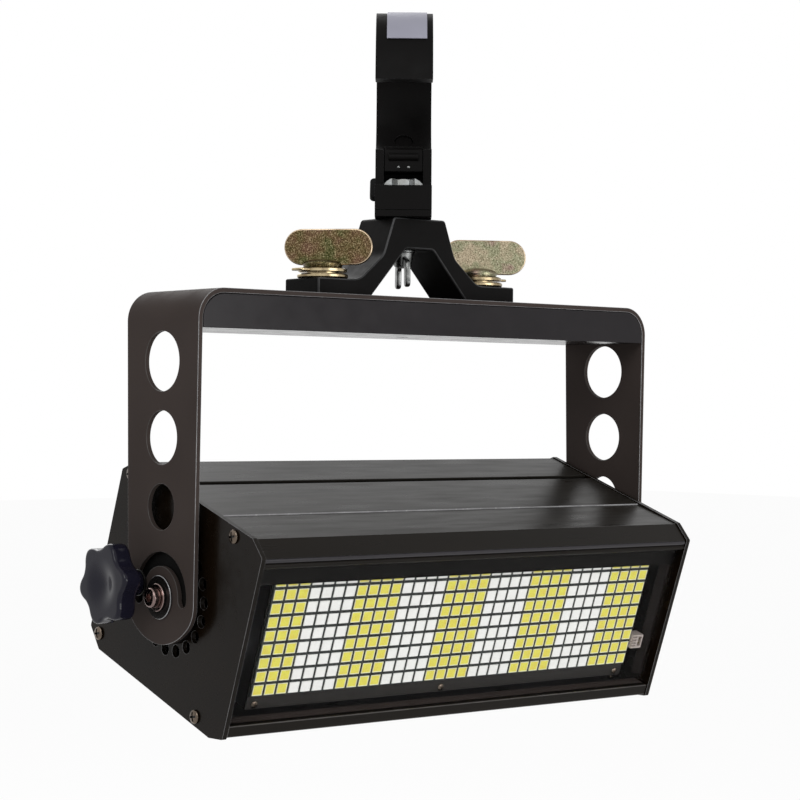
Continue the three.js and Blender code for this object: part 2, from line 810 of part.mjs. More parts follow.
function yokeStrap() {
  const blank = alongY(strapOutline(), -strapWidth / 2, strapWidth / 2);
  const reach = yokeSpan / 2 + overrun;
  const trimmed = blank.intersect(alongX(armOutline(), -reach, reach));
  const lightening = holeDiameters.map((diameter, i) =>
    alongX(shapeOf(roundPoints(0, yokeTopZ - holeDrops[i], diameter / 2, 28)), -reach, reach));
  const slot = alongX(slotOutline(), -reach, reach);
  const pivot = alongX(shapeOf(roundPoints(0, pivotZ, bushDiameter / 2 + shaftGap, 20)), -reach, reach);
  const drillLow = yokeTopZ - strapThickness - overrun;
  const studDrill = discProfile(studDiameter / 2 + shaftGap, drillLow, yokeTopZ + overrun);
  const studHoles = [-1, 1].map((side) => turnedZ(studDrill, side * fastenerOffset, 0, 0, 16));
  return cutBy(trimmed, [...lightening, slot, pivot, ...studHoles]);
}

// The closed channel under the crossbar, open at its top where the strap covers it
function yokeChannel() {
  const half = armInner - seatGap;
  const corner = bendRadius - strapThickness;
  const front = shapeOf([
    [-half, channelBottomZ],
    [half, channelBottomZ],
    ...arcPoints(half - corner, channelTopZ - corner, corner, corner, 0, 90, 5),
    ...arcPoints(-half + corner, channelTopZ - corner, corner, corner, 90, 180, 5),
  ]);
  const depth = strapWidth / 2;
  const block = alongY(front, -depth, depth);
  const hollow = boxBetween(
    [-half + corner + channelWall, -depth + channelWall, channelBottomZ + channelWall],
    [half - corner - channelWall, depth - channelWall, channelTopZ + overrun],
  );
  const drill = discProfile(channelHoleDiameter / 2, channelBottomZ - overrun, channelBottomZ + overrun);
  return cutBy(block, [hollow, turnedZ(drill, 0, 0, 0, 16)]);
}

root.add(meshOf("yoke_strap", yokeStrap(), blackPowder), meshOf("yoke_channel", yokeChannel(), blackPaint));

// Tilt lock: what turns with the housing stands in the housing's group
const armOuter = yokeSpan / 2;
const bushOuter = armOuter + seatGap + bushFlangeThickness;
const washerOuter = bushOuter + seatGap + pivotWasherThickness;

function pivotBush(side) {
  const bore = pivotShankDiameter / 2 + shaftGap;
  const low = housingHalfWidth + seatGap;
  return turnedX([
    [bore, low], [bushDiameter / 2, low], [bushDiameter / 2, armOuter + seatGap],
    [bushFlangeDiameter / 2, armOuter + seatGap], [bushFlangeDiameter / 2, bushOuter],
    [bore, bushOuter], [bore, low],
  ], side, 0, 0, 0, 28);
}

function pivotWasher(side) {
  const bore = pivotShankDiameter / 2 + shaftGap;
  const low = bushOuter + seatGap;
  return turnedX([
    [bore, low], [pivotWasherDiameter / 2, low], [pivotWasherDiameter / 2, washerOuter],
    [bore, washerOuter], [bore, low],
  ], side, 0, 0, 0, 24);
}

function pivotScrew(side) {
  const low = washerOuter + seatGap;
  const top = low + pivotHeadHeight;
  return turnedX([
    [0, housingHalfWidth - endPlateThickness - pivotShankTail],
    [pivotShankDiameter / 2, housingHalfWidth - endPlateThickness - pivotShankTail],
    [pivotShankDiameter / 2, low],
    [pivotHeadDiameter / 2, low],
    [pivotHeadDiameter / 2, top],
    [pivotSocketDiameter / 2, top],
    [pivotSocketDiameter / 2, top - pivotSocketDepth],
    [0, top - pivotSocketDepth],
  ], side, 0, 0, 0, 18);
}

function frictionDisc(side) {
  const low = housingHalfWidth + seatGap;
  const high = armInner - seatGap;
  const ring = turnedX([
    [bushDiameter / 2 + shaftGap, low], [frictionDiscDiameter / 2, low], [frictionDiscDiameter / 2, high],
    [bushDiameter / 2 + shaftGap, high], [bushDiameter / 2 + shaftGap, low],
  ], side, 0, 0, 0, 32);
  const studDrill = discProfile(knobStudDiameter / 2 + shaftGap, low - overrun, high + overrun);
  const studHole = turnedX(studDrill, side, 0, slotRadius, 0, 12);
  return ring.subtract(studHole);
}

// The six-lobed knob: its outline is a circle whose radius swells six times in a turn
function knobOutline(inset) {
  const outer = knobDiameter / 2;
  const middle = (outer * (1 + knobValleyShare)) / 2;
  const swing = (outer * (1 - knobValleyShare)) / 2;
  const points = [];
  for (let i = 0; i < knobFacets; i += 1) {
    const angle = (i / knobFacets) * 2 * Math.PI;
    const radius = middle - swing * Math.cos(knobLobes * angle) - inset;
    points.push([radius * Math.cos(angle), radius * Math.sin(angle)]);
  }
  return points;
}

function starKnob(side) {
  const outerX = armOuter + knobReach;
  const innerX = outerX - knobThickness;
  const faceX = outerX - knobEdge;
  const washerFace = armOuter + seatGap + knobWasherThickness + seatGap;
  const lobes = side > 0
    ? alongX(shapeOf(knobOutline(0)), innerX, faceX)
    : alongX(shapeOf(knobOutline(0)), -faceX, -innerX);
  const rim = side > 0
    ? alongX(shapeOf(knobOutline(knobEdge)), innerX, outerX)
    : alongX(shapeOf(knobOutline(knobEdge)), -outerX, -innerX);
  const hub = turnedX([
    [0, washerFace], [knobStudDiameter, washerFace], [knobHubDiameter / 2, innerX - knobHubLength / 2],
    [knobHubDiameter / 2, innerX + knobEdge], [0, innerX + knobEdge],
  ], side, 0, 0, 0, 24);
  const studEnd = housingHalfWidth - endPlateThickness - knobStudTail;
  const stud = turnedX(discProfile(knobStudDiameter / 2, studEnd, washerFace + knobEdge), side, 0, 0, 0, 12);
  const dish = turnedX([
    [0, outerX - knobDishDepth], [knobDishDiameter / 4, outerX - knobDishDepth],
    [knobDishDiameter / 2, outerX + seatGap], [0, outerX + seatGap],
  ], side, 0, 0, 0, 24);
  return joined([lobes, rim, hub, stud]).subtract(dish).translate([0, slotRadius, 0]);
}

// Housing: every sheet follows the end plate's outline, drawn in (y, z) about the pivot
function housingCorners(inset) {
  const front = -housingFront + inset;
  const rear = housingRear - inset;
  const top = halfHeight - inset;
  return {
    topFront: [front + frontBevelDepth, top],
    faceTop: [front, top - topBevelDrop],
    faceLow: [front, -top + lowBevelDrop],
    lowFront: [front + frontBevelDepth + seatGap, -top],
    lowRear: [rear - rearBevelDepth, -top],
    rearLow: [rear, -top + rearBevelDrop],
    rearTop: [rear, top - rearBevelDrop],
    topRear: [rear - rearBevelDepth, top],
  };
}

const endScrewPlaces = [
  ["front_top", frontScrewPlace, frontScrewHeight],
  ["front_low", frontScrewPlace, -frontScrewHeight],
  ["rear_top", rearScrewPlace, rearScrewHeight],
  ["rear_low", rearScrewPlace, -rearScrewHeight],
];

function endPlate(side) {
  const c = housingCorners(0);
  const outline = [c.topFront, c.faceTop, c.faceLow, c.lowFront, c.lowRear, c.rearLow, c.rearTop, c.topRear];
  const holes = [];
  for (let i = 0; i < ventCount; i += 1) {
    const angle = (2 * Math.PI * (i + ventTurnShare)) / ventCount;
    holes.push(circlePath(ventRadius * Math.cos(angle), ventRadius * Math.sin(angle), ventDiameter / 2));
  }
  holes.push(circlePath(0, 0, pivotShankDiameter / 2 + shaftGap));
  holes.push(circlePath(slotRadius, 0, knobStudDiameter / 2 + shaftGap));
  for (const [, y, z] of endScrewPlaces) {
    holes.push(circlePath(y, z, endScrewShank / 2 + shaftGap));
  }
  const outer = side * housingHalfWidth;
  const inner = side * (housingHalfWidth - endPlateThickness);
  return alongX(shapeOf(outline, holes), Math.min(outer, inner), Math.max(outer, inner), 6);
}

function endScrew(side, y, z) {
  const seat = housingHalfWidth + seatGap;
  const end = seat - endPlateThickness - endScrewTail;
  const radius = endScrewDiameter / 2;
  return turnedX([
    [0, end], [endScrewShank / 2, end],
    [endScrewShank / 2, seat], [radius, seat], [radius, seat + endScrewHeight / 2],
    [radius / 2, seat + endScrewHeight], [0, seat + endScrewHeight],
  ], side, 0, y, z, 12);
}

// A strip of sheet of constant thickness between an outer and an inner run of points
function sheetStrip(outer, inner) {
  return alongX(shapeOf([...outer, ...inner.slice().reverse()]), -panelHalf, panelHalf);
}

function topPanel() {
  const c = housingCorners(panelInset);
  const d = housingCorners(panelInset + sheet);
  const top = c.topFront[1];
  const under = d.topFront[1];
  const low = top - grooveDepth;
  const beadTop = c.faceTop[1];
  const maskFront = glassRear + seatGap / 2;
  const shelf = windowTop + seatGap;
  const outer = [
    [grooveRear + lipReturn, low],
    [grooveFront, low],
    [grooveFront, top],
    [ridgeLine, top],
    [ridgeLine - ridgeStep, top - ridgeStep],
    c.topFront,
    c.faceTop,
    [c.faceTop[0] + sheet / 2, shelf],
    [maskFront, shelf],
    [maskFront, maskEdge],
  ];
  const inner = [
    [grooveRear + lipReturn, low - sheet],
    [grooveFront - sheet, low - sheet],
    [grooveFront - sheet, under - ridgeStep],
    [d.topFront[0] + ridgeStep, under - ridgeStep],
    [d.faceTop[0], beadTop - sheet],
    [d.faceTop[0], shelf + sheet],
    [maskFront + maskThickness, shelf + sheet],
    [maskFront + maskThickness, maskEdge],
  ];
  const plate = sheetStrip(outer, inner);
  const radius = beadDiameter / 2;
  const y = c.faceTop[0] + radius;
  const beads = [0, 1].map((i) => {
    const z = beadTop - radius - i * beadDiameter;
    return alongX(shapeOf(roundPoints(y, z, radius + seatGap / 2, 12)), -panelHalf, panelHalf);
  });
  return joined([plate, ...beads]);
}

function bottomPanel() {
  const c = housingCorners(panelInset);
  const d = housingCorners(panelInset + sheet);
  const outer = [
    [c.faceLow[0] + lipReturn, windowBottom],
    [c.faceLow[0], windowBottom],
    c.faceLow,
    c.lowFront,
    [rearCoverLap - seatGap, c.lowRear[1]],
  ];
  const inner = [
    [c.faceLow[0] + lipReturn, windowBottom - sheet],
    [d.faceLow[0], windowBottom - sheet],
    d.faceLow,
    d.lowFront,
    [rearCoverLap - seatGap, d.lowRear[1]],
  ];
  return sheetStrip(outer, inner);
}

function rearCover() {
  const c = housingCorners(panelInset);
  const d = housingCorners(panelInset + sheet);
  const wrap = (k) => [
    [grooveRear, k.topRear[1]], k.topRear, k.rearTop, k.rearLow, k.lowRear, [rearCoverLap, k.lowRear[1]],
  ];
  const body = sheetStrip(wrap(c), wrap(d));
  const wallIn = housingRear - panelInset - sheet - overrun;
  const wallOut = housingRear + overrun;
  const round = (x, z, diameter) =>
    alongY(shapeOf(roundPoints(x, z, diameter / 2 + seatGap, 20)), wallIn, wallOut);
  const buttons = buttonPlaces.map((x) => round(x, bezelLevel - buttonDrop, buttonDiameter));
  const sockets = [
    ...powerPlaces.map((x) => round(x, socketHeight, powerDiameter)),
    ...dataPlaces.map((x) => round(x, socketHeight, dataDiameter)),
  ];
  return cutBy(body, [...sockets, ...buttons]);
}

function windowGlass() {
  const low = windowBottom + seatGap;
  const high = windowTop - seatGap;
  return boxBetween([-panelHalf, glassFront, low], [panelHalf, glassRear, high]);
}

function windowCheek(side) {
  const near = side * (boardHalfWidth + cheekBoardGap);
  const far = side * (panelHalf - windowCheekThickness);
  const front = glassRear + maskThickness + seatGap;
  const wall = side * windowCheekThickness;
  const plan = shapeOf(side > 0
    ? [[near, boardRear], [near + wall, boardRear], [far + wall, front], [far, front]]
    : [[far, front], [far + wall, front], [near + wall, boardRear], [near, boardRear]]);
  return alongZ(plan, boardBottom, maskEdge - seatGap);
}

// The LED field is one raised slab, parted by grooves into columns and rows
function ledBoard() {
  const fieldLeft = (-(ledColumns - 1) * ledPitchX) / 2 - ledWidth / 2;
  const fieldRight = -fieldLeft;
  const fieldLow = ledRowLow - ledHeight / 2;
  const fieldHigh = ledRowLow + (ledRows - 1) * ledPitchZ + ledHeight / 2;
  const board = boxBetween([-boardHalfWidth, boardFront, boardBottom], [boardHalfWidth, boardRear, boardTop]);
  const fieldRear = boardFront + boardThickness / 2;
  const field = boxBetween([fieldLeft, ledFace, fieldLow], [fieldRight, fieldRear, fieldHigh]);
  const above = ledFace - overrun;
  const grooves = [];
  for (let i = 1; i < ledColumns; i += 1) {
    const x = fieldLeft + i * ledPitchX;
    const start = x - (ledPitchX - ledWidth);
    grooves.push(boxBetween([start, above, fieldLow - overrun], [x, boardFront, fieldHigh + overrun]));
  }
  for (let i = 1; i < ledRows; i += 1) {
    const z = fieldLow + i * ledPitchZ;
    const start = z - (ledPitchZ - ledHeight);
    grooves.push(boxBetween([fieldLeft - overrun, above, start], [fieldRight + overrun, boardFront, z]));
  }
  return cutBy(joined([board, field]), grooves);
}

function ledConnector() {
  const level = connectorPlace - connectorHeight / 2;
  const low = [boardHalfWidth + seatGap, boardFront - connectorDepth / 2, level];
  const high = [low[0] + connectorWidth, low[1] + connectorDepth, low[2] + connectorHeight];
  const block = boxBetween(low, high);
  const slots = [-1, 1].map((side) => {
    const z = connectorPlace + (side * connectorHeight) / 4;
    return boxBetween(
      [low[0] + connectorWidth / 4, low[1] - overrun, z - connectorSlotWidth / 2],
      [high[0] - connectorWidth / 4, low[1] + connectorSlotDepth, z + connectorSlotWidth / 2],
    );
  });
  return cutBy(block, slots);
}

function heatSink() {
  const front = boardRear + seatGap;
  const root0 = front + sinkBase;
  const tip = root0 + sinkFinHeight;
  const pitch = (2 * sinkHalfWidth - sinkFinThickness) / (sinkFinCount - 1);
  const points = [[-sinkHalfWidth, front], [sinkHalfWidth, front]];
  for (let i = sinkFinCount - 1; i >= 0; i -= 1) {
    const left = -sinkHalfWidth + i * pitch;
    points.push([left + sinkFinThickness, i === sinkFinCount - 1 ? tip : root0]);
    if (i !== sinkFinCount - 1) points.push([left + sinkFinThickness, tip]);
    points.push([left, tip]);
    if (i !== 0) points.push([left, root0]);
  }
  return alongZ(shapeOf(points), boardBottom, sinkTop);
}

const innerTop = halfHeight - panelInset - sheet - seatGap;
const innerRear = housingRear - panelInset - sheet - seatGap;

// An open tray with the supply's parts left out, standing on the bottom sheet
function powerSupply() {
  const left = supplyOffset - supplyLength / 2;
  const low = -innerTop;
  const back = innerRear - powerDepth - fanGap;
  const front = back - supplyDepth;
  const tray = boxBetween([left, front, low], [left + supplyLength, back, low + supplyHeight / 2]);
  const hollow = boxBetween(
    [left + supplyWall, front + supplyWall, low + supplyWall],
    [left + supplyLength - supplyWall, back - supplyWall, low + supplyHeight],
  );
  const coil = boxBetween(
    [supplyOffset - supplyHeight / 2, front + supplyDepth / 4, low + supplyWall / 2],
    [supplyOffset + supplyHeight / 2, back - supplyDepth / 4, low + supplyHeight],
  );
  return joined([tray.subtract(hollow), coil]);
}

function fanFrame() {
  const back = innerRear;
  const front = back - fanDepth;
  const half = fanSize / 2;
  const square = shapeOf([
    [fanPlace - half, -half], [fanPlace + half, -half], [fanPlace + half, half], [fanPlace - half, half],
  ], [circlePath(fanPlace, 0, fanBore / 2)]);
  const ring = alongY(square, front, back, 12);
  const hubCircle = shapeOf(roundPoints(fanPlace, 0, fanHubDiameter / 2, 16));
  const boss = alongY(hubCircle, front, front + fanStrutThickness);
  const struts = [0, 1].map((turn) => {
    const a = turn === 0 ? half - fanGap : fanStrutWidth / 2;
    const b = turn === 0 ? fanStrutWidth / 2 : half - fanGap;
    return boxBetween([fanPlace - a, front, -b], [fanPlace + a, front + fanStrutThickness, b]);
  });
  return joined([ring, boss, ...struts]);
}

function fanRotor() {
  const front = innerRear - fanDepth + fanStrutThickness + seatGap;
  const back = innerRear - fanGap;
  const depth = back - front;
  const hub = alongY(shapeOf(roundPoints(0, 0, fanHubDiameter / 2, 16)), front, back);
  const reach = fanBore / 2 - fanGap;
  const span = reach - fanHubDiameter / 3;
  const chord = depth / Math.cos(radians(fanBladeTwistDegrees)) / 2;
  const blades = [];
  for (let i = 0; i < fanBladeCount; i += 1) {
    const blade = new THREE.BoxGeometry(span, chord, fanBladeThickness);
    blade.rotateX(radians(fanBladeTwistDegrees));
    blade.translate(reach - span / 2, (front + back) / 2, 0);
    blade.rotateY((2 * Math.PI * i) / fanBladeCount);
    blades.push(solidOf(blade));
  }
  return joined([hub, ...blades]).translate([fanPlace, 0, 0]);
}

// A round panel socket: flange outside the rear cover, barrel inside, a hollow with a floor
function panelSocket(x, { diameter, flange, depth, bore }) {
  const wall = housingRear - panelInset;
  const face = wall + seatGap + flangeThickness;
  const tail = face - depth;
  const body = turned([
    [0, tail], [diameter / 2, tail], [diameter / 2, wall + seatGap], [flange / 2, wall + seatGap],
    [flange / 2, face], [bore / 2, face], [bore / 2, tail + socketFloor], [0, tail + socketFloor],
  ], 20);
  return solidOf(body).translate([x, 0, socketHeight]);
}

const powerSocket = { diameter: powerDiameter, flange: powerFlange, depth: powerDepth, bore: powerBore };
const dataSocket = { diameter: dataDiameter, flange: dataFlange, depth: dataDepth, bore: dataBore };

function displayBezel() {
  const wall = housingRear - panelInset + seatGap;
  const halfW = bezelWidth / 2;
  const halfH = bezelHeight / 2;
  const buttonLevel = bezelLevel - buttonDrop;
  const buttonHoles = buttonPlaces.map((x) => circlePath(x, buttonLevel, buttonDiameter / 2 + seatGap));
  const plate = alongY(shapeOf([
    [bezelPlace - halfW, bezelLevel - halfH], [bezelPlace + halfW, bezelLevel - halfH],
    [bezelPlace + halfW, bezelLevel + halfH], [bezelPlace - halfW, bezelLevel + halfH],
  ], buttonHoles), wall, wall + bezelThickness, 8);
  const screenLevel = bezelLevel + screenRise;
  const screen = boxBetween(
    [bezelPlace - screenWidth / 2, wall + bezelThickness / 2, screenLevel - screenHeight / 2],
    [bezelPlace + screenWidth / 2, wall + bezelThickness + overrun, screenLevel + screenHeight / 2],
  );
  return plate.subtract(screen);
}

function menuButton(x) {
  const face = housingRear - panelInset + seatGap + bezelThickness;
  const radius = buttonDiameter / 2;
  return solidOf(turned([
    [0, face - bezelThickness - buttonTail], [radius, face - bezelThickness - buttonTail],
    [radius, face + buttonProud / 2], [radius - buttonProud / 2, face + buttonProud], [0, face + buttonProud],
  ], 14)).translate([x, 0, bezelLevel - buttonDrop]);
}

// A flat eye on a foot plate, for the safety cable
function safetyEyelet() {
  const wall = housingRear - panelInset + seatGap;
  const foot = boxBetween(
    [eyeletPlace - eyeletFootWidth / 2, wall, eyeletLevel - eyeletFootHeight / 2],
    [eyeletPlace + eyeletFootWidth / 2, wall + eyeletFootThickness, eyeletLevel + eyeletFootHeight / 2],
  );
  const centre = wall + eyeletOuter / 2;
  const outline = roundPoints(eyeletPlace, centre, eyeletOuter / 2, 24);
  const eye = alongZ(
    shapeOf(outline, [circlePath(eyeletPlace, centre + eyeletFootThickness / 2, eyeletBore / 2)]),
    eyeletLevel - eyeletThickness / 2, eyeletLevel + eyeletThickness / 2);
  return joined([foot, eye]);
}

for (const [word, side] of [["left", -1], ["right", 1]]) {
  headGroup.add(
    meshOf(word + "_pivot_bush", pivotBush(side), zinc),
    meshOf(word + "_pivot_washer", pivotWasher(side), steel),
    meshOf(word + "_pivot_screw", pivotScrew(side), steel),
    meshOf(word + "_friction_disc", frictionDisc(side), rubber),
    meshOf(word + "_star_knob", starKnob(side), knobPlastic),
    meshOf(word + "_end_plate", endPlate(side), blackPaint),
    meshOf(word + "_window_cheek", windowCheek(side), blackGloss),
  );
  for (const [place, y, z] of endScrewPlaces) {
    headGroup.add(meshOf(word + "_screw_" + place, endScrew(side, y, z), screwBronze));
  }
}

headGroup.add(
  meshOf("top_panel", topPanel(), blackPaint),
  meshOf("bottom_panel", bottomPanel(), blackPaint),
  meshOf("rear_cover", rearCover(), blackPaint),
  meshOf("window_glass", windowGlass(), clearGlass),
  meshOf("led_board", ledBoard(), whitePlastic),
  meshOf("led_connector", ledConnector(), whitePlastic),
  meshOf("heat_sink", heatSink(), bareAluminium),
  meshOf("power_supply", powerSupply(), socketGrey),
  meshOf("fan_frame", fanFrame(), blackGloss),
  meshOf("fan_rotor", fanRotor(), blackGloss),
  meshOf("power_inlet", panelSocket(powerPlaces[0], powerSocket), socketBlue),
  meshOf("power_outlet", panelSocket(powerPlaces[1], powerSocket), socketGrey),
  meshOf("data_inlet", panelSocket(dataPlaces[0], dataSocket), socketGrey),
  meshOf("data_outlet", panelSocket(dataPlaces[1], dataSocket), socketGrey),
  meshOf("display_bezel", displayBezel(), screenDark),
  meshOf("safety_eyelet", safetyEyelet(), steel),
);
buttonPlaces.forEach((x, i) => {
  headGroup.add(meshOf("menu_button_" + (i + 1), menuButton(x), rubber));
});

export default root;
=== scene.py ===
"""Looks of a strobe light in a bent yoke, hung from a tube by a hook clamp.

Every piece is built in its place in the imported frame: metres, +Z up, the light's front towards -Y,
the origin on the axis of the tube. The housing's pieces are drawn level about the tilt axis and
then turned with it, and the clamp's pieces are drawn with the tube along X.
"""

from __future__ import annotations

import json
import logging
import math
from collections.abc import Sequence
from dataclasses import dataclass
from enum import Enum

import bmesh
import bpy
from mathutils import Matrix, Vector


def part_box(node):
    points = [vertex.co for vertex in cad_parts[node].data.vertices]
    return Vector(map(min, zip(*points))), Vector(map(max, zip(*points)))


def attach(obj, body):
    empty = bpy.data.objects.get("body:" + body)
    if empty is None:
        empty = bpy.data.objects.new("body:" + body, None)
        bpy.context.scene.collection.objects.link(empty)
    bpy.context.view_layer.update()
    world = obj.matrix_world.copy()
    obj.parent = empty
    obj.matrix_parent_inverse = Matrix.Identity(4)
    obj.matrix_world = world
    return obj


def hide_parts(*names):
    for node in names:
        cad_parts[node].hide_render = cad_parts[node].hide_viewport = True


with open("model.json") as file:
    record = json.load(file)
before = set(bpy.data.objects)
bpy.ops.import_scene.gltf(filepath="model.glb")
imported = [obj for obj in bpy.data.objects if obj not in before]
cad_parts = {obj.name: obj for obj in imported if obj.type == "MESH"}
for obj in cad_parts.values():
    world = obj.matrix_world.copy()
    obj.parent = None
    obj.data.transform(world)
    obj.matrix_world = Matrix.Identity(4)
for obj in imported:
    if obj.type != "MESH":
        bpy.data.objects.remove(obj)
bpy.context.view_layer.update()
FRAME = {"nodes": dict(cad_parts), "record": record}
RECORD = FRAME["record"]
JOINTS = {joint["name"]: joint for joint in RECORD["behaviour"]["joints"]}
MOUNTS = {mount["name"]: mount for mount in RECORD["mounts"]}
TUBE_AXIS = MOUNTS["truss_tube"]["axis"]
TILT = -math.radians(JOINTS["head_tilt"]["range_deg"][0])
PIVOT = Vector(JOINTS["head_tilt"]["pos_m"])
HEAD = Matrix.Translation(PIVOT) @ Matrix.Rotation(TILT, 4, "X")
CLAMP = Matrix.Rotation(math.atan2(TUBE_AXIS[1], TUBE_AXIS[0]), 4, "Z")
LEVEL = Matrix.Identity(4)

# Sizes that several sub-assemblies share
GAP = 0.0003  # the clearance between two pieces
HALF_WIDTH = 0.1444  # half the housing's width
ARM_OUTER = 0.1517  # the outer face of a yoke arm
SLOT_RADIUS = 0.0186  # from the tilt axis to the middle of the arc slot
STUD_PLACE = 0.0535  # from the light's middle to a quarter-turn stud
STUD_HOLE = 0.0048  # the radius of a stud's hole
GLASS_FRONT = -0.0588
GLASS_REAR = -0.0558
WINDOW_TOP = 0.0394
WINDOW_BOTTOM = -0.041
MERGE = 1e-7  # points closer than this are one
CUT_MERGE = 2e-6  # the same after a Boolean

Point = tuple[float, float]
Place = tuple[float, float, float]
Colour = tuple[float, float, float]
Form = bmesh.types.BMesh

MIDDLE: Point = (0.0, 0.0)
EVEN: Place = (1.0, 1.0, 1.0)

log = logging.getLogger("strobe")


class Axis(Enum):
    """The axis that a flat outline is drawn out along."""

    X = 0
    Y = 1
    Z = 2

    def point(self, across: float, up: float, along: float) -> Vector:
        """The place in space of an outline's point.

        Args:
            across: The outline's first coordinate.
            up: The outline's second coordinate.
            along: The place along this axis.

        Returns:
            The point, with the axis as its third direction.
        """
        if self is Axis.X:
            return Vector((along, across, up))
        if self is Axis.Y:
            return Vector((across, along, up))
        return Vector((across, up, along))


class Side(Enum):
    """The left or right half of the light, seen from its front."""

    LEFT = ("left", -1)
    RIGHT = ("right", 1)

    @property
    def sign(self) -> int:
        """Minus one on the left and one on the right."""
        return self.value[1]

    def name(self, word: str) -> str:
        """A name that starts with this side's word."""
        return f"{self.value[0]}_{word}"


# Outlines and forms


def arc(centre: Point, radius: float, start: float, end: float, steps: int, tall: float = 0.0) -> list[Point]:
    """Points along an arc, both ends included.

    Args:
        centre: The middle of the arc.
        radius: Its radius, or its half width where tall is given.
        start: The first angle in degrees.
        end: The last angle in degrees.
        steps: How many parts the arc is divided into.
        tall: Its half height where the arc is an ellipse.

    Returns:
        The points in order.
    """
    height = tall or radius
    turns = [math.radians(start + (end - start) * step / steps) for step in range(steps + 1)]
    return [(centre[0] + radius * math.cos(turn), centre[1] + height * math.sin(turn)) for turn in turns]


def ring(centre: Point, radius: float, steps: int = 40) -> list[Point]:
    """The points of a whole circle, its last point not repeated."""
    return arc(centre, radius, 0.0, 360.0, steps)[:-1]


def hexagon(across: float) -> list[Point]:
    """The corners of a hexagon of that width across its flats."""
    return ring(MIDDLE, across / math.sqrt(3), 6)


def rectangle(low: Point, high: Point) -> list[Point]:
    """The corners of a rectangle, counterclockwise from its low one."""
    return [low, (high[0], low[1]), high, (low[0], high[1])]


def rounded(corners: Sequence[Point], radii: Sequence[float], steps: int = 5) -> list[Point]:
    """An outline with its corners rounded.

    Args:
        corners: The sharp corners in order.
        radii: One radius for each corner, 0 where it stays sharp.
        steps: How many parts each round is divided into.

    Returns:
        The outline's points.
    """
    points: list[Point] = []
    count = len(corners)
    for index, (corner, radius) in enumerate(zip(corners, radii)):
        here = Vector(corner)
        if radius <= 0.0:
            points.append(corner)
            continue
        back = (Vector(corners[index - 1]) - here).normalized()
        ahead = (Vector(corners[(index + 1) % count]) - here).normalized()
        half = back.angle(ahead) / 2
        reach = radius / math.tan(half)
        start = here + back * reach
        end = here + ahead * reach
        for step in range(steps + 1):
            share = step / steps
            low = start.lerp(here, share)
            high = here.lerp(end, share)
            points.append(tuple(low.lerp(high, share)))
    return points


def plate(
    axis: Axis, low: float, high: float, outline: Sequence[Point], holes: Sequence[Sequence[Point]] = ()
) -> Form:
    """A flat outline drawn out along an axis.

    Args:
        axis: The axis it is drawn out along.
        low: Where it starts on that axis.
        high: Where it ends.
        outline: Its outer points.
        holes: The points of each hole through it.

    Returns:
        The closed form.
    """
    form = bmesh.new()
    edges = []
    for loop in (outline, *holes):
        corners = [form.verts.new(axis.point(across, up, low)) for across, up in loop]
        edges += [form.edges.new(pair) for pair in zip(corners, corners[1:] + corners[:1])]
    if holes:
        bmesh.ops.triangle_fill(form, use_beauty=True, edges=edges)
    else:
        bmesh.ops.edgeloop_fill(form, edges=edges)
    raised = bmesh.ops.extrude_face_region(form, geom=list(form.faces))["geom"]
    moving = [part for part in raised if isinstance(part, bmesh.types.BMVert)]
    bmesh.ops.translate(form, verts=moving, vec=axis.point(0.0, 0.0, high - low))
    bmesh.ops.recalc_face_normals(form, faces=form.faces)
    return form


def turned(profile: Sequence[Point], steps: int = 48, hollow: bool = False) -> Form:
    """A body turned about Z.

    Args:
        profile: Points of radius and height, from the axis and back to it.
        steps: How many parts the turn is divided into.
        hollow: True where the profile is a closed loop clear of the axis.

    Returns:
        The closed form.
    """
    form = bmesh.new()
    corners = [form.verts.new((radius, 0.0, height)) for radius, height in profile]
    pairs = list(zip(corners, corners[1:]))
    if hollow:
        pairs.append((corners[-1], corners[0]))
    edges = [form.edges.new(pair) for pair in pairs]
    bmesh.ops.spin(
        form, geom=corners + edges, cent=(0.0, 0.0, 0.0), axis=(0.0, 0.0, 1.0), angle=2 * math.pi,
        steps=steps, use_merge=True,
    )
    bmesh.ops.remove_doubles(form, verts=form.verts, dist=MERGE)
    bmesh.ops.recalc_face_normals(form, faces=form.faces)
    return form


def drum(radius: float, low: float, high: float, steps: int = 48) -> Form:
    """A plain round body between two heights."""
    return turned([(0.0, low), (radius, low), (radius, high), (0.0, high)], steps)


def pin(radius: float, low: float, high: float, tip: float, steps: int = 28) -> Form:
    """A round pin between two heights, its lower end chamfered by the tip."""
    return turned([(0.0, low), (radius - tip, low), (radius, low + tip), (radius, high), (0.0, high)], steps)


def washer(bore: float, radius: float, low: float, high: float, steps: int = 48) -> Form:
    """A flat ring with its outer rims chamfered.

    Args:
        bore: The radius of its hole.
        radius: Its outer radius.
        low: Its lower face.
        high: Its upper face.
        steps: How many parts the turn is divided into.

    Returns:
        The closed form.
    """
    soft = 0.0003
    return turned([
        (bore, low), (radius - soft, low), (radius, low + soft), (radius, high - soft),
        (radius - soft, high), (bore, high),
    ], steps, True)


def cap(radius: float, rise: float, root: float, steps: int = 28) -> Form:
    """A screw's or rivet's domed head, standing on height 0.

    Args:
        radius: Its radius.
        rise: How high its dome stands.
        root: How far it reaches below height 0.
        steps: How many parts the turn is divided into.

    Returns:
        The closed form.
    """
    dome = arc(MIDDLE, radius, 0.0, 90.0, 6, rise)
    return turned([(0.0, -root), (radius, -root), *dome[:-1], (0.0, rise)], steps)


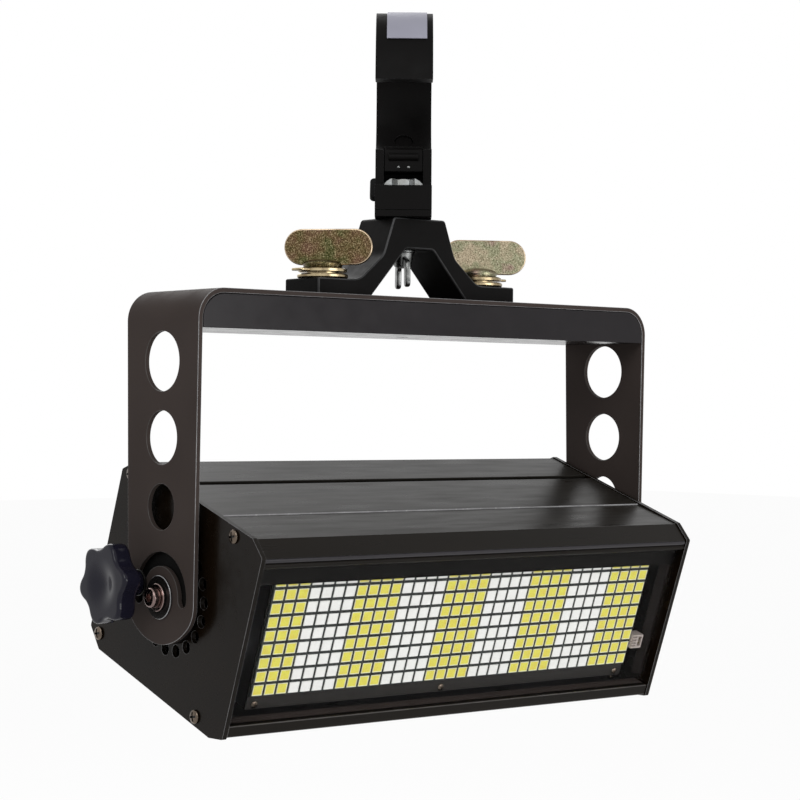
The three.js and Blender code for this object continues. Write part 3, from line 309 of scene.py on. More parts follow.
def block(low: Place, high: Place) -> Form:
    """A box between two corners.

    Args:
        low: Its lowest corner.
        high: Its highest corner.

    Returns:
        The closed form.
    """
    form = bmesh.new()
    bmesh.ops.create_cube(form, size=1.0)
    size = Vector(high) - Vector(low)
    middle = (Vector(high) + Vector(low)) / 2
    bmesh.ops.scale(form, vec=size, verts=form.verts)
    bmesh.ops.translate(form, vec=middle, verts=form.verts)
    return form


def bridged(loops: Sequence[Sequence[Vector]]) -> Form:
    """A skin over a row of loops with equal counts, closed at both ends.

    Args:
        loops: The loops in order.

    Returns:
        The closed form.
    """
    form = bmesh.new()
    before: list[bmesh.types.BMEdge] = []
    for number, loop in enumerate(loops):
        corners = [form.verts.new(place) for place in loop]
        edges = [form.edges.new(pair) for pair in zip(corners, corners[1:] + corners[:1])]
        if before:
            bmesh.ops.bridge_loops(form, edges=before + edges)
        if number in (0, len(loops) - 1):
            bmesh.ops.edgeloop_fill(form, edges=edges)
        before = edges
    bmesh.ops.recalc_face_normals(form, faces=form.faces)
    return form


def moved(form: Form, matrix: Matrix) -> Form:
    """The form after a matrix has moved it."""
    bmesh.ops.transform(form, matrix=matrix, verts=form.verts)
    return form


def shift(x: float = 0.0, y: float = 0.0, z: float = 0.0) -> Matrix:
    """The matrix of a straight move."""
    return Matrix.Translation((x, y, z))


def turn_by(degrees: float, axis: str) -> Matrix:
    """The matrix of a turn about an axis through the origin."""
    return Matrix.Rotation(math.radians(degrees), 4, axis)


def outwards(side: Side, y: float = 0.0, z: float = 0.0) -> Matrix:
    """The turn that lays a body turned about Z along X, its heights pointing outwards."""
    return shift(y=y, z=z) @ Matrix.Rotation(side.sign * math.pi / 2, 4, "Y")


def backwards(x: float, z: float) -> Matrix:
    """The turn that lays a body turned about Z along Y, its heights pointing to the light's rear."""
    return shift(x=x, z=z) @ Matrix.Rotation(-math.pi / 2, 4, "X")


def forwards(x: float, y: float, z: float) -> Matrix:
    """The turn that lays a body turned about Z along Y, its heights pointing to the light's front."""
    return shift(x, y, z) @ Matrix.Rotation(math.pi / 2, 4, "X")


def merged(*forms: Form) -> Form:
    """One form that holds several.

    Args:
        forms: The forms, which are used up.

    Returns:
        The whole.
    """
    whole = bmesh.new()
    for form in forms:
        mesh = bpy.data.meshes.new("step")
        form.to_mesh(mesh)
        form.free()
        whole.from_mesh(mesh)
        bpy.data.meshes.remove(mesh)
    return whole


def cross(reach: float, half: float, low: float, high: float) -> Form:
    """The two crossed bars that cut a screw's recess.

    Args:
        reach: Half the length of each bar.
        half: Half its width.
        low: The recess's floor.
        high: Where the bars end above the head.

    Returns:
        Both bars as one form.
    """
    level = block((-reach, -half, low), (reach, half, high))
    upright = block((-half, -reach, low), (half, reach, high))
    return merged(level, upright)


def carved(form: Form, cutter: Form, operation: str = "DIFFERENCE") -> Form:
    """The form after an exact Boolean with another.

    Args:
        form: The form to change.
        cutter: The form that cuts it. Parts of it may overlap.
        operation: DIFFERENCE or INTERSECT.

    Returns:
        The cut form.
    """
    objects = []
    for source in (form, cutter):
        mesh = bpy.data.meshes.new("step")
        source.to_mesh(mesh)
        source.free()
        piece = bpy.data.objects.new("step", mesh)
        bpy.context.scene.collection.objects.link(piece)
        objects.append(piece)
    body, tool = objects
    cut = body.modifiers.new("cut", "BOOLEAN")
    cut.object = tool
    cut.operation = operation
    cut.solver = "EXACT"
    cut.use_self = True
    ready = body.evaluated_get(bpy.context.evaluated_depsgraph_get())
    result = bmesh.new()
    result.from_mesh(ready.to_mesh())
    ready.to_mesh_clear()
    for piece in objects:
        mesh = piece.data
        bpy.data.objects.remove(piece)
        bpy.data.meshes.remove(mesh)
    bmesh.ops.remove_doubles(result, verts=result.verts, dist=CUT_MERGE)
    bmesh.ops.dissolve_degenerate(result, edges=result.edges, dist=CUT_MERGE)
    return result


def softened(
    form: Form, width: float, segments: int = 3, over: float = 32.0, painted_highlight: int | None = None
) -> Form:
    """The form with its sharper edges rounded.

    Args:
        form: The form to change.
        width: How far each round reaches from its edge.
        segments: How many parts each round is divided into.
        over: The least angle in degrees between two faces that counts as an edge.
        painted_highlight: The material index that the rounds get, where a lighter finish paints a highlight
            along them.

    Returns:
        The same form.
    """
    limit = math.radians(over)
    edges = [edge for edge in form.edges if edge.is_manifold and edge.calc_face_angle(0.0) > limit]
    rounds = bmesh.ops.bevel(
        form, geom=edges, offset=width, offset_type="OFFSET", segments=segments, profile=0.5,
        affect="EDGES", clamp_overlap=True, material=-1,
    )["faces"]
    if painted_highlight is not None:
        for face in rounds:
            face.material_index = painted_highlight
    return form


def rimmed(form: Form, painted_highlight: int) -> Form:
    """Gives the chamfers of a body turned about Z a lighter finish, a painted highlight round its rims.

    Args:
        form: The form to change.
        painted_highlight: The material index that its slanting faces get, for that painted highlight.

    Returns:
        The same form.
    """
    form.normal_update()
    for face in form.faces:
        if 0.4 < abs(face.normal.z) < 0.9:
            face.material_index = painted_highlight
    return form


# Finishes


def look_name(name: str) -> str:
    """The name of a finish's material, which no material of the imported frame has."""
    return f"{name}_look"


class Recipe:
    """The nodes of one material, added step by step."""

    def __init__(self, name: str) -> None:
        """Starts with a shader on an output.

        Args:
            name: The finish's name.
        """
        self.material = bpy.data.materials.new(look_name(name))
        self.material.use_nodes = True
        self.tree = self.material.node_tree
        self.tree.nodes.clear()
        self.shader = self.add("ShaderNodeBsdfPrincipled")
        self.output = self.add("ShaderNodeOutputMaterial")
        self.tree.links.new(self.shader.outputs[0], self.output.inputs[0])
        self.place = self.add("ShaderNodeTexCoord").outputs["Object"]

    def add(self, kind: str, **values: float | Place) -> bpy.types.Node:
        """A new node.

        Args:
            kind: Its type.
            values: The inputs to set, spaces in their names written as underscores.

        Returns:
            The node.
        """
        node = self.tree.nodes.new(kind)
        for name, value in values.items():
            node.inputs[name.replace("_", " ")].default_value = value
        return node

    def fix(self, **values: float) -> None:
        """Sets constant sockets of the shader, spaces in their names written as underscores."""
        for name, value in values.items():
            self.shader.inputs[name.replace("_", " ")].default_value = value

    def feed(self, name: str, socket: bpy.types.NodeSocket) -> None:
        """Links a socket to the shader's input of that name."""
        self.tree.links.new(socket, self.shader.inputs[name])

    def noise(self, scale: float, stretch: Place = EVEN, detail: float = 4.0) -> bpy.types.NodeSocket:
        """Soft noise on object coordinates.

        Args:
            scale: Waves for each metre.
            stretch: A factor on each axis, where less than 1 draws the noise out.
            detail: How many finer layers it has.

        Returns:
            The noise's value.
        """
        mapping = self.add("ShaderNodeMapping", Scale=stretch)
        self.tree.links.new(self.place, mapping.inputs["Vector"])
        node = self.add("ShaderNodeTexNoise", Scale=scale, Detail=detail)
        self.tree.links.new(mapping.outputs[0], node.inputs["Vector"])
        return node.outputs[0]

    def ramp(
        self, value: bpy.types.NodeSocket, stops: Sequence[tuple[float, Colour]]
    ) -> bpy.types.NodeSocket:
        """Colours picked by a value.

        Args:
            value: The value from 0 to 1.
            stops: Each stop's place and colour.

        Returns:
            The colour.
        """
        node = self.add("ShaderNodeValToRGB")
        band = node.color_ramp
        while len(band.elements) < len(stops):
            band.elements.new(0.5)
        for element, (place, colour) in zip(band.elements, stops):
            element.position = place
            element.color = (*colour, 1.0)
        self.tree.links.new(value, node.inputs[0])
        return node.outputs[0]

    def tone(self, value: bpy.types.NodeSocket, low: float, high: float) -> bpy.types.NodeSocket:
        """A value laid over another range.

        Args:
            value: The value.
            low: The new range's start.
            high: The new range's end.

        Returns:
            The new value.
        """
        node = self.add("ShaderNodeMapRange", From_Min=0.3, From_Max=0.7, To_Min=low, To_Max=high)
        self.tree.links.new(value, node.inputs["Value"])
        return node.outputs[0]

    def blend(
        self, share: bpy.types.NodeSocket, one: bpy.types.NodeSocket, two: bpy.types.NodeSocket
    ) -> bpy.types.NodeSocket:
        """A colour between two others.

        Args:
            share: How much of the second there is.
            one: The first colour.
            two: The second colour.

        Returns:
            The mixed colour.
        """
        node = self.add("ShaderNodeMix")
        node.data_type = "RGBA"
        for socket, index in ((share, 0), (one, 6), (two, 7)):
            self.tree.links.new(socket, node.inputs[index])
        return node.outputs[2]

    def bump(self, height: bpy.types.NodeSocket, depth: float) -> None:
        """Raises the surface by a value.

        Args:
            height: The value.
            depth: How far it raises the surface, in metres.
        """
        node = self.add("ShaderNodeBump", Strength=1.0, Distance=depth)
        self.tree.links.new(height, node.inputs["Height"])
        self.feed("Normal", node.outputs[0])


@dataclass(frozen=True)
class Finish:
    """A finish: its name, and the record's material slot that it belongs to."""

    name: str
    slot: str

    def material(self) -> bpy.types.Material:
        """The finish's material, made once.

        Returns:
            The material.
        """
        known = bpy.data.materials.get(look_name(self.name))
        if known:
            return known
        recipe = Recipe(self.name)
        self.paint(recipe)
        return recipe.material

    def paint(self, recipe: Recipe) -> None:
        """Adds the finish's own nodes to its recipe."""
        raise NotImplementedError


@dataclass(frozen=True)
class Coat(Finish):
    """A coat of one colour: its cloudy variation, its gloss and its grain."""

    colour: Colour
    shade: Colour
    gloss: Point = (0.35, 0.5)
    metal: float = 0.0
    specular: float = 0.5
    cloud: float = 30.0
    stretch: Place = EVEN
    grain: float = 900.0
    depth: float = 1e-5

    def paint(self, recipe: Recipe) -> None:
        """Clouds of two tints, uneven gloss and a fine grain.

        Args:
            recipe: The recipe to add them to.
        """
        recipe.fix(Metallic=self.metal, Specular_IOR_Level=self.specular)
        cloud = recipe.noise(self.cloud, self.stretch)
        recipe.feed("Base Color", recipe.ramp(cloud, [(0.3, self.shade), (0.7, self.colour)]))
        recipe.feed("Roughness", recipe.tone(recipe.noise(self.cloud * 4, self.stretch), *self.gloss))
        recipe.bump(recipe.noise(self.grain, self.stretch, 2.0), self.depth)


@dataclass(frozen=True)
class Speckle(Finish):
    """Yellow zinc plating: small flakes of several tints under a slow drift of colour."""

    flakes: tuple[Colour, ...]
    drift: tuple[Colour, ...]
    gloss: Point = (0.24, 0.4)
    flake_scale: float = 1500.0
    drift_scale: float = 90.0
    depth: float = 1.2e-5

    def paint(self, recipe: Recipe) -> None:
        """Flakes and drift, mixed by the flakes' own noise.

        Args:
            recipe: The recipe to add them to.
        """
        recipe.fix(Metallic=1.0)
        fine = recipe.noise(self.flake_scale, detail=6.0)
        count = len(self.flakes) - 1
        flakes = recipe.ramp(fine, [(0.34 + 0.32 * n / count, tint) for n, tint in enumerate(self.flakes)])
        slow = recipe.noise(self.drift_scale, detail=2.0)
        count = len(self.drift) - 1
        drift = recipe.ramp(slow, [(0.36 + 0.28 * n / count, tint) for n, tint in enumerate(self.drift)])
        recipe.feed("Base Color", recipe.blend(recipe.tone(fine, 0.35, 0.65), flakes, drift))
        recipe.feed("Roughness", recipe.tone(fine, *self.gloss))
        recipe.bump(fine, self.depth)


@dataclass(frozen=True)
class Pane(Finish):
    """Clear flat glass, thin enough that light passes straight through."""

    tint: Colour
    cover: float

    def paint(self, recipe: Recipe) -> None:
        """A faint tint under a trace of dust.

        Args:
            recipe: The recipe to add them to.
        """
        recipe.fix(Alpha=self.cover, Specular_IOR_Level=0.5)
        dust = recipe.noise(60.0)
        light = tuple(part * 1.6 for part in self.tint)
        recipe.feed("Base Color", recipe.ramp(dust, [(0.3, self.tint), (0.7, light)]))
        recipe.feed("Roughness", recipe.tone(dust, 0.02, 0.06))
        recipe.material.surface_render_method = "BLENDED"


ROLLED: Place = (0.12, 1.0, 1.0)  # clouds drawn out along the sheet
ARM_PAINT = Coat(
    "black_powder", "black_paint", (0.0465, 0.0365, 0.033), (0.0375, 0.0293, 0.0265), (0.5, 0.62),
    specular=0.03, cloud=24.0, grain=1800.0, depth=1.4e-5,
)
BAR_PAINT = Coat(
    "bar_black", "black_paint", (0.0125, 0.0105, 0.0118), (0.0095, 0.008, 0.0092), (0.16, 0.26),
    specular=0.17, cloud=24.0, grain=1800.0,
)
END_PAINT = Coat(
    "end_black", "black_paint", (0.0062, 0.0036, 0.0018), (0.0043, 0.0026, 0.0013), (0.18, 0.3),
    specular=0.095, cloud=40.0, grain=1600.0, depth=6e-6,
)
# Light bluish grey with strong gloss, laid on the rounds of black painted edges: a painted highlight along
# them.
PAINTED_EDGE_HIGHLIGHT = Coat(
    "edge_painted_highlight", "black_paint", (0.2, 0.198, 0.205), (0.09, 0.088, 0.09), (0.2, 0.3),
    specular=0.9, cloud=90.0, grain=1500.0,
)
# A grey a little lighter and glossier than the black it edges, laid on rounds: a dimmer painted highlight.
DIM_PAINTED_HIGHLIGHT = Coat(
    "dim_edge_painted_highlight", "black_paint", (0.06, 0.055, 0.052), (0.03, 0.027, 0.025), (0.26, 0.36),
    specular=0.3, cloud=90.0, grain=1500.0,
)
# Bluish grey, lighter and glossier than the top panel's black, laid on the upper rolled bead: a painted
# highlight.
BEAD_PAINTED_HIGHLIGHT = Coat(
    "bead_painted_highlight", "black_paint", (0.024, 0.022, 0.025), (0.018, 0.0165, 0.019), (0.14, 0.22),
    specular=0.24, stretch=ROLLED, cloud=60.0, grain=1400.0, depth=4e-6,
)
TOP_PAINT = Coat(
    "black_paint_top", "black_paint", (0.012, 0.0105, 0.0085), (0.009, 0.008, 0.0065), (0.26, 0.38),
    specular=0.14, stretch=ROLLED, cloud=60.0, grain=1400.0, depth=5e-6,
)
# The sheet black in a tone set by how light falls on the faces that take it: painted shade on the top panel's
# front and the bottom panel, painted light on the end plates' edge faces.
FRONT_PAINTED_LIGHT = Coat(
    "front_black_painted_light", "black_paint", (0.0072, 0.0054, 0.0038), (0.0054, 0.0042, 0.003), (0.26, 0.36),
    specular=0.09, stretch=ROLLED, cloud=60.0, grain=1400.0,
)
MASK_PAINT = Coat(
    "mask_black", "black_paint", (0.0045, 0.0038, 0.0032), (0.003, 0.0026, 0.0022), (0.45, 0.6),
    specular=0.05, grain=500.0, depth=3e-6,
)
CHEEK_PAINT = Coat(
    "cheek_black", "black_paint", (0.0185, 0.0152, 0.0135), (0.0142, 0.0116, 0.0103), (0.4, 0.5),
    specular=0.06, grain=500.0, depth=3e-6,
)
CAST = Coat(
    "cast_black", "cast_black", (0.0042, 0.0038, 0.0037), (0.0026, 0.0024, 0.0023), (0.4, 0.56),
    specular=0.05, grain=700.0, depth=3e-5,
)
# Grey, much lighter than the cast black, laid on the cast parts' rounds: a painted highlight along their
# edges.
CAST_PAINTED_HIGHLIGHT = Coat(
    "cast_edge_painted_highlight", "cast_black", (0.05, 0.05, 0.052), (0.004, 0.004, 0.004), (0.26, 0.38),
    specular=0.16, cloud=60.0,
)
GLOSS = Coat(
    "gloss_black", "gloss_black", (0.008, 0.0075, 0.007), (0.006, 0.0056, 0.0052), (0.16, 0.26),
    specular=0.14,
)
KNOB = Coat(
    "knob_plastic", "knob_plastic", (0.009, 0.0085, 0.0155), (0.0065, 0.006, 0.012), (0.1, 0.16),
    specular=0.17, grain=1200.0, depth=6e-6,
)
ZINC = Coat("zinc", "zinc", (0.5, 0.41, 0.25), (0.17, 0.125, 0.07), (0.2, 0.34), metal=1.0, cloud=220.0)
STEEL = Coat(
    "bright_steel", "steel", (0.56, 0.57, 0.6), (0.34, 0.35, 0.38), (0.12, 0.26), metal=1.0, cloud=120.0,
)
BOLT_STEEL = Coat(
    "bolt_steel", "steel", (0.44, 0.46, 0.47), (0.27, 0.27, 0.25), (0.38, 0.52), metal=0.55, cloud=240.0,
)
NUT_STEEL = Coat(
    "nut_steel", "steel", (0.25, 0.255, 0.25), (0.075, 0.078, 0.078), (0.24, 0.4), metal=1.0, cloud=300.0,
)
BRONZE = Coat(
    "screw_steel", "screw_steel", (0.17, 0.135, 0.105), (0.08, 0.062, 0.048), (0.16, 0.28),
    metal=1.0, cloud=300.0,
)
PINK_STEEL = Coat(
    "pivot_steel", "steel", (0.34, 0.25, 0.23), (0.14, 0.1, 0.095), (0.16, 0.3), metal=1.0, cloud=200.0,
)
RUBBER = Coat(
    "rubber", "rubber", (0.0045, 0.0042, 0.004), (0.003, 0.0028, 0.0027), (0.5, 0.7),
    specular=0.05, grain=1500.0, depth=2e-5,
)
ALUMINIUM = Coat(
    "bare_aluminium", "bare_aluminium", (0.5, 0.51, 0.52), (0.4, 0.41, 0.42), (0.3, 0.45),
    metal=1.0, stretch=(1.0, 1.0, 0.1),
)
SUPPLY = Coat("supply_steel", "supply_steel", (0.35, 0.35, 0.36), (0.27, 0.27, 0.28), (0.3, 0.45), metal=1.0)
BLUE = Coat("socket_blue", "socket_blue", (0.03, 0.06, 0.22), (0.024, 0.048, 0.17), (0.3, 0.42))
GREY = Coat("socket_grey", "socket_grey", (0.3, 0.3, 0.31), (0.24, 0.24, 0.25))
SOCKET_BLACK = Coat(
    "socket_black", "socket_black", (0.02, 0.02, 0.021), (0.014, 0.014, 0.015), (0.3, 0.42), specular=0.3,
)
WHITE_PLASTIC = Coat(
    "connector_white", "connector_white", (0.5, 0.44, 0.4), (0.34, 0.29, 0.27), specular=0.3,
)
PLATE = Coat(
    "plate", "plate", (0.3, 0.3, 0.36), (0.24, 0.24, 0.29), metal=0.4, stretch=(1.0, 0.1, 1.0),
)
DISPLAY = Coat("display", "display", (0.008, 0.01, 0.014), (0.006, 0.008, 0.011), (0.08, 0.16))
BOARD = Coat(
    "led_board_black", "led_white", (0.026, 0.023, 0.021), (0.014, 0.0125, 0.0115), (0.4, 0.55),
    specular=0.15, cloud=400.0,
)
GRID = Coat(
    "led_grid_grey", "led_white", (0.05, 0.056, 0.053), (0.012, 0.014, 0.013), (0.4, 0.55),
    specular=0.15, cloud=500.0,
)
YELLOW_RIM = Coat("led_rim_cream", "led_white", (0.88, 0.87, 0.62), (0.8, 0.78, 0.52), cloud=300.0)
YELLOW_LENS = Coat(
    "led_lens_yellow", "led_white", (0.8, 0.77, 0.1), (0.78, 0.66, 0.085), (0.25, 0.4), cloud=300.0,
)
WHITE_RIM = Coat("led_rim_white", "led_white", (0.9, 0.9, 0.87), (0.84, 0.84, 0.81), cloud=300.0)
WHITE_LENS = Coat(
    "led_lens_white", "led_white", (0.94, 0.94, 0.91), (0.9, 0.9, 0.87), (0.25, 0.4), cloud=300.0,
)
# Two copies of one yellow zinc: their tints differ at random, and the left copy is darker overall, painted
# shade, the right lighter, painted light.
LEFT_WING = Speckle(
    "yellow_zinc_left", "yellow_zinc",
    ((0.012, 0.007, 0.003), (0.05, 0.034, 0.014), (0.14, 0.1, 0.048), (0.5, 0.42, 0.26)),
    ((0.045, 0.065, 0.02), (0.09, 0.062, 0.028), (0.125, 0.06, 0.045)),
)
RIGHT_WING = Speckle(
    "yellow_zinc_right", "yellow_zinc",
    ((0.05, 0.035, 0.02), (0.16, 0.13, 0.08), (0.29, 0.23, 0.165), (0.6, 0.54, 0.42)),
    ((0.26, 0.17, 0.15), (0.19, 0.23, 0.13), (0.38, 0.32, 0.22)),
)
# Bright gold laid on the wings' rounds: a painted highlight along their rims.
GOLD_PAINTED_HIGHLIGHT = Coat(
    "gold_edge_painted_highlight", "yellow_zinc", (0.62, 0.5, 0.36), (0.14, 0.09, 0.05), (0.2, 0.32), metal=1.0, cloud=90.0,
)
GLASS = Pane("window_glass", "glass", (0.012, 0.012, 0.0125), 0.05)


def make_piece(
    name: str, form: Form, finishes: Finish | Sequence[Finish], body: str, nodes: Sequence[str] = (),
    at: Matrix = LEVEL, crease: float = 40.0,
) -> None:
    """Turns a form into a dressed piece that rides on its body.

    Args:
        name: The piece's name.
        form: Its form, which is used up.
        finishes: Its finish, or one for each material index of its faces.
        body: The body that it rides on.
        nodes: The nodes that it stands for.
        at: The matrix that lays it in its place.
        crease: The angle in degrees past which an edge stays sharp.
    """
    moved(form, at)
    bmesh.ops.remove_doubles(form, verts=form.verts, dist=MERGE)
    bmesh.ops.recalc_face_normals(form, faces=form.faces)
    mesh = bpy.data.meshes.new(name)
    form.to_mesh(mesh)
    form.free()
    mesh.shade_smooth()
    mesh.set_sharp_from_angle(angle=math.radians(crease))
    coats = (finishes,) if isinstance(finishes, Finish) else finishes
    for coat in coats:
        mesh.materials.append(coat.material())
    piece = bpy.data.objects.new(name, mesh)
    bpy.context.scene.collection.objects.link(piece)
    even = piece.modifiers.new("even shading", "WEIGHTED_NORMAL")
    even.keep_sharp = True
    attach(piece, body)
    if nodes:
        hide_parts(*nodes)
    log.info("%s: %d faces on %s", name, len(mesh.polygons), body)


def on_clamp(name: str, form: Form, finishes: Finish | Sequence[Finish], *nodes: str) -> None:
    """A piece of the clamp, drawn with the tube along X."""
    make_piece(name, form, finishes, "clamp", nodes, CLAMP)


def on_head(
    name: str, form: Form, finishes: Finish | Sequence[Finish], *nodes: str, at: Matrix = LEVEL
) -> None:
    """A piece of the head, drawn level about the tilt axis once its own matrix has laid it there."""
    make_piece(name, form, finishes, "head", nodes, HEAD @ at)


def dress_node(name: str, finish: Finish) -> None:
    """Gives a CAD node that stays in view its finish.

    Args:
        name: The node's name.
        finish: Its finish.
    """
    node = FRAME["nodes"][name]
    node.data.materials.clear()
    node.data.materials.append(finish.material())
    log.info("%s: kept, dressed in %s", name, finish.name)


# Sub-assemblies


@dataclass(frozen=True)
class HookClamp:
    """The hook round the tube, its saddle, hanging bolt, blank plate and flag-handled screw."""

    width: float = 0.0296
    edge: float = 0.0007
    bore: float = 0.0253
    bore_end: float = -98.0
    front: float = 0.0375
    rear: float = 0.04
    top: float = 0.0465
    nose_angle: float = 168.0
    tip_height: float = 0.007
    tip_thickness: float = 0.012
    base_top: float = -0.0458
    base_bottom: float = -0.0584
    base_half: float = 0.022
    cheek_front: float = 0.004
    cheek: float = 0.0044
    channel_front: float = -0.03
    rear_wall: float = 0.0125
    boss_reach: float = 0.052
    boss_half: float = 0.009
    screw_pitch: float = -47.0
    screw_radius: float = 0.0048
    screw_drill: Point = (0.02, 0.06)
    thread_pitch: float = 0.0015
    thread_depth: float = 0.0006
    saddle_low: float = -0.037
    bar_share: float = 0.78
    bar_radius: float = 0.0021
    bar_level: float = -0.0292
    rivet_radius: float = 0.0009
    rivet_rise: float = 0.0007
    rivet_root: float = 0.0004
    rivet_spacing: float = 0.0053
    rivet_up: float = 0.0024
    bolt_radius: float = 0.004
    bolt_drill: Point = (-0.07, -0.04)
    shank_end: float = -0.0876
    hex_across: float = 0.0104
    hex_top: float = -0.0411
    hex_chamfer: float = 0.0014
    washer_radius: float = 0.0108
    washer_height: float = 0.0064
    washer_front: float = -0.0006
    flag_reach: float = 0.0182
    flag_width: float = 0.017
    flag_thickness: float = 0.0036
    hub_low: float = 0.054
    hub_high: float = 0.062
    hub_radius: float = 0.0075
    hub_edge: float = 0.0008
    plate_half: float = 0.0104
    plate_angles: Point = (38.0, 76.0)
    plate_shift: float = 0.0013
    plate_thickness: float = 0.0006
    swivel_rear: float = 0.018

    @property
    def half(self) -> float:
        """Half the clamp's width."""
        return self.width / 2

    @property
    def screw_axis(self) -> Point:
        """The screw's direction away from the tube, in (y, z)."""
        pitch = math.radians(self.screw_pitch)
        return math.cos(pitch), math.sin(pitch)

    def beside_screw(self, reach: float, side: float) -> Point:
        """A point beside the screw's axis, in (y, z)."""
        along, up = self.screw_axis
        return along * reach - up * side, up * reach + along * side

    def along_screw(self) -> Matrix:
        """The turn that lays a body turned about Z onto the screw's axis."""
        return Matrix.Rotation(-math.radians(90.0 - self.screw_pitch), 4, "X")

    def build_hook(self) -> None:
        """The cast hook with its two cheeks, base and screw boss."""
        tip_angle = 180.0 - math.degrees(math.asin(self.tip_height / self.bore))
        bore = arc(MIDDLE, self.bore, tip_angle, self.bore_end, 72)
        crown = arc(MIDDLE, self.rear, 0.0, 90.0, 18, self.top)
        crown += arc(MIDDLE, self.front, 90.0, self.nose_angle, 18, self.top)[1:]
        base, cheek = self.base_half, -self.cheek_front
        outside = [
            (cheek, -self.bore), (cheek, self.base_top), (-base, self.base_top), (-base, self.base_bottom),
            (base, self.base_bottom), (base, self.base_top),
            self.beside_screw(self.boss_reach, -self.boss_half),
            self.beside_screw(self.boss_reach, self.boss_half), (self.rear, cheek),
        ]
        tip = (-self.bore - self.tip_thickness, self.tip_height)
        body = plate(Axis.X, -self.half, self.half, [*bore, *outside, *crown, tip])
        inner = self.half - self.cheek
        ceiling = -self.bore + self.cheek_front
        channel = block((-inner, self.channel_front, self.base_top), (inner, self.rear_wall, ceiling))
        body = carved(body, channel)
        bolt_drill = drum(self.bolt_radius + GAP, *self.bolt_drill)
        screw_drill = moved(drum(self.screw_radius + GAP, *self.screw_drill), self.along_screw())
        # The rounds take the lighter cast edge finish: a painted highlight along the hook's edges.
        body = softened(carved(body, merged(bolt_drill, screw_drill)), self.edge, painted_highlight=1)
        on_clamp("clamp_hook_body", body, [CAST, CAST_PAINTED_HIGHLIGHT], "clamp_hook")

    def build_saddle(self) -> None:
        """The saddle that presses the tube, with the bar between its slits and its two rivets."""
        half = self.half - self.cheek - GAP
        front = -self.cheek_front + GAP
        back = self.rear_wall - GAP
        reach = self.bore + GAP
        start, end = (-90.0 + math.degrees(math.asin(place / reach)) for place in (back, front))
        outline = [(front, self.saddle_low), (back, self.saddle_low), *arc(MIDDLE, reach, start, end, 14)]
        saddle = softened(plate(Axis.X, -half, half, outline), 0.0004)
        bar_half = half * self.bar_share
        bar = plate(Axis.X, -bar_half, bar_half, ring((front, self.bar_level), self.bar_radius, 24))
        on_clamp("saddle_block", merged(saddle, softened(bar, 0.0003)), CAST, "tube_saddle")
        rivets = []
        for side in (-1, 1):
            rivet = cap(self.rivet_radius, self.rivet_rise, self.rivet_root, 20)
            place = forwards(side * self.rivet_spacing / 2, front, self.saddle_low + self.rivet_up)
            rivets.append(moved(rivet, place))
        on_clamp("saddle_rivets", merged(*rivets), NUT_STEEL)

    def build_bolt(self) -> None:
        """The hanging bolt with a chamfered hexagon head, and the domed washer round it."""
        radius = self.hex_across / math.sqrt(3)
        low, top = self.base_top + GAP, self.hex_top
        cone = turned([
            (0.0, low - 0.001), (radius * 1.2, low - 0.001), (radius * 1.2, top - self.hex_chamfer),
            (radius * 0.86, top), (0.0, top),
        ])
        head = carved(plate(Axis.Z, low, top, hexagon(self.hex_across)), cone, "INTERSECT")
        shank = pin(self.bolt_radius, self.shank_end, low + 0.0004, 0.0006, 32)
        bolt = merged(softened(head, 0.00025, 2, 20.0), shank)
        on_clamp("bolt_with_head", bolt, BOLT_STEEL, "hanging_bolt")
        dome = arc((0.0, low), self.washer_radius, 0.0, 90.0, 14, self.washer_height)
        ring_body = turned([(0.0, low), *dome[:-1], (0.0, low + self.washer_height)], 64)
        self.cut_washer(ring_body, low)

    def cut_washer(self, dome: Form, low: float) -> None:
        """Cuts the domed washer to the room between the hook's cheeks and round the bolt's head.

        Args:
            dome: The whole dome.
            low: The height that it stands on.
        """
        hollow = plate(Axis.Z, low - 0.01, low + 0.02, hexagon(self.hex_across + 2 * GAP))
        narrow = self.half - self.cheek - GAP
        behind = -self.cheek_front - GAP
        room, under, over = 0.02, -0.06, -0.03
        outside = [
            block((-room, -room, under), (room, self.washer_front, over)),
            block((-room, behind, under), (-narrow, room, over)),
            block((narrow, behind, under), (room, room, over)),
        ]
        dome = softened(carved(dome, merged(hollow, *outside)), 0.0002, 2)
        on_clamp("washer_dome", dome, BOLT_STEEL, "bolt_washer")

    def build_plates(self) -> None:
        """The swivel plate under the base and the blank plate on the front of the hook."""
        low, high = (corner.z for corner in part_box("swivel_plate"))
        corners = rectangle((-self.half, -self.base_half), (self.half, self.swivel_rear))
        outline = rounded(corners, [0.0012, 0.0012, 0.003, 0.003])
        swivel = plate(Axis.Z, low, high, outline, [ring(MIDDLE, self.bolt_radius + GAP)])
        on_clamp("swivel_disc_plate", softened(swivel, 0.0005), CAST, "swivel_plate")
        start, end = (180.0 - angle for angle in self.plate_angles)
        rise = GAP + self.plate_thickness
        near = arc(MIDDLE, self.front + GAP, start, end, 12, self.top + GAP)
        far = arc(MIDDLE, self.front + rise, end, start, 12, self.top + rise)
        left, right = self.plate_shift - self.plate_half, self.plate_shift + self.plate_half
        plain = plate(Axis.X, left, right, [*near, *far])
        on_clamp("blank_plate", softened(plain, 0.00015, 2), PLATE, "hook_plate")

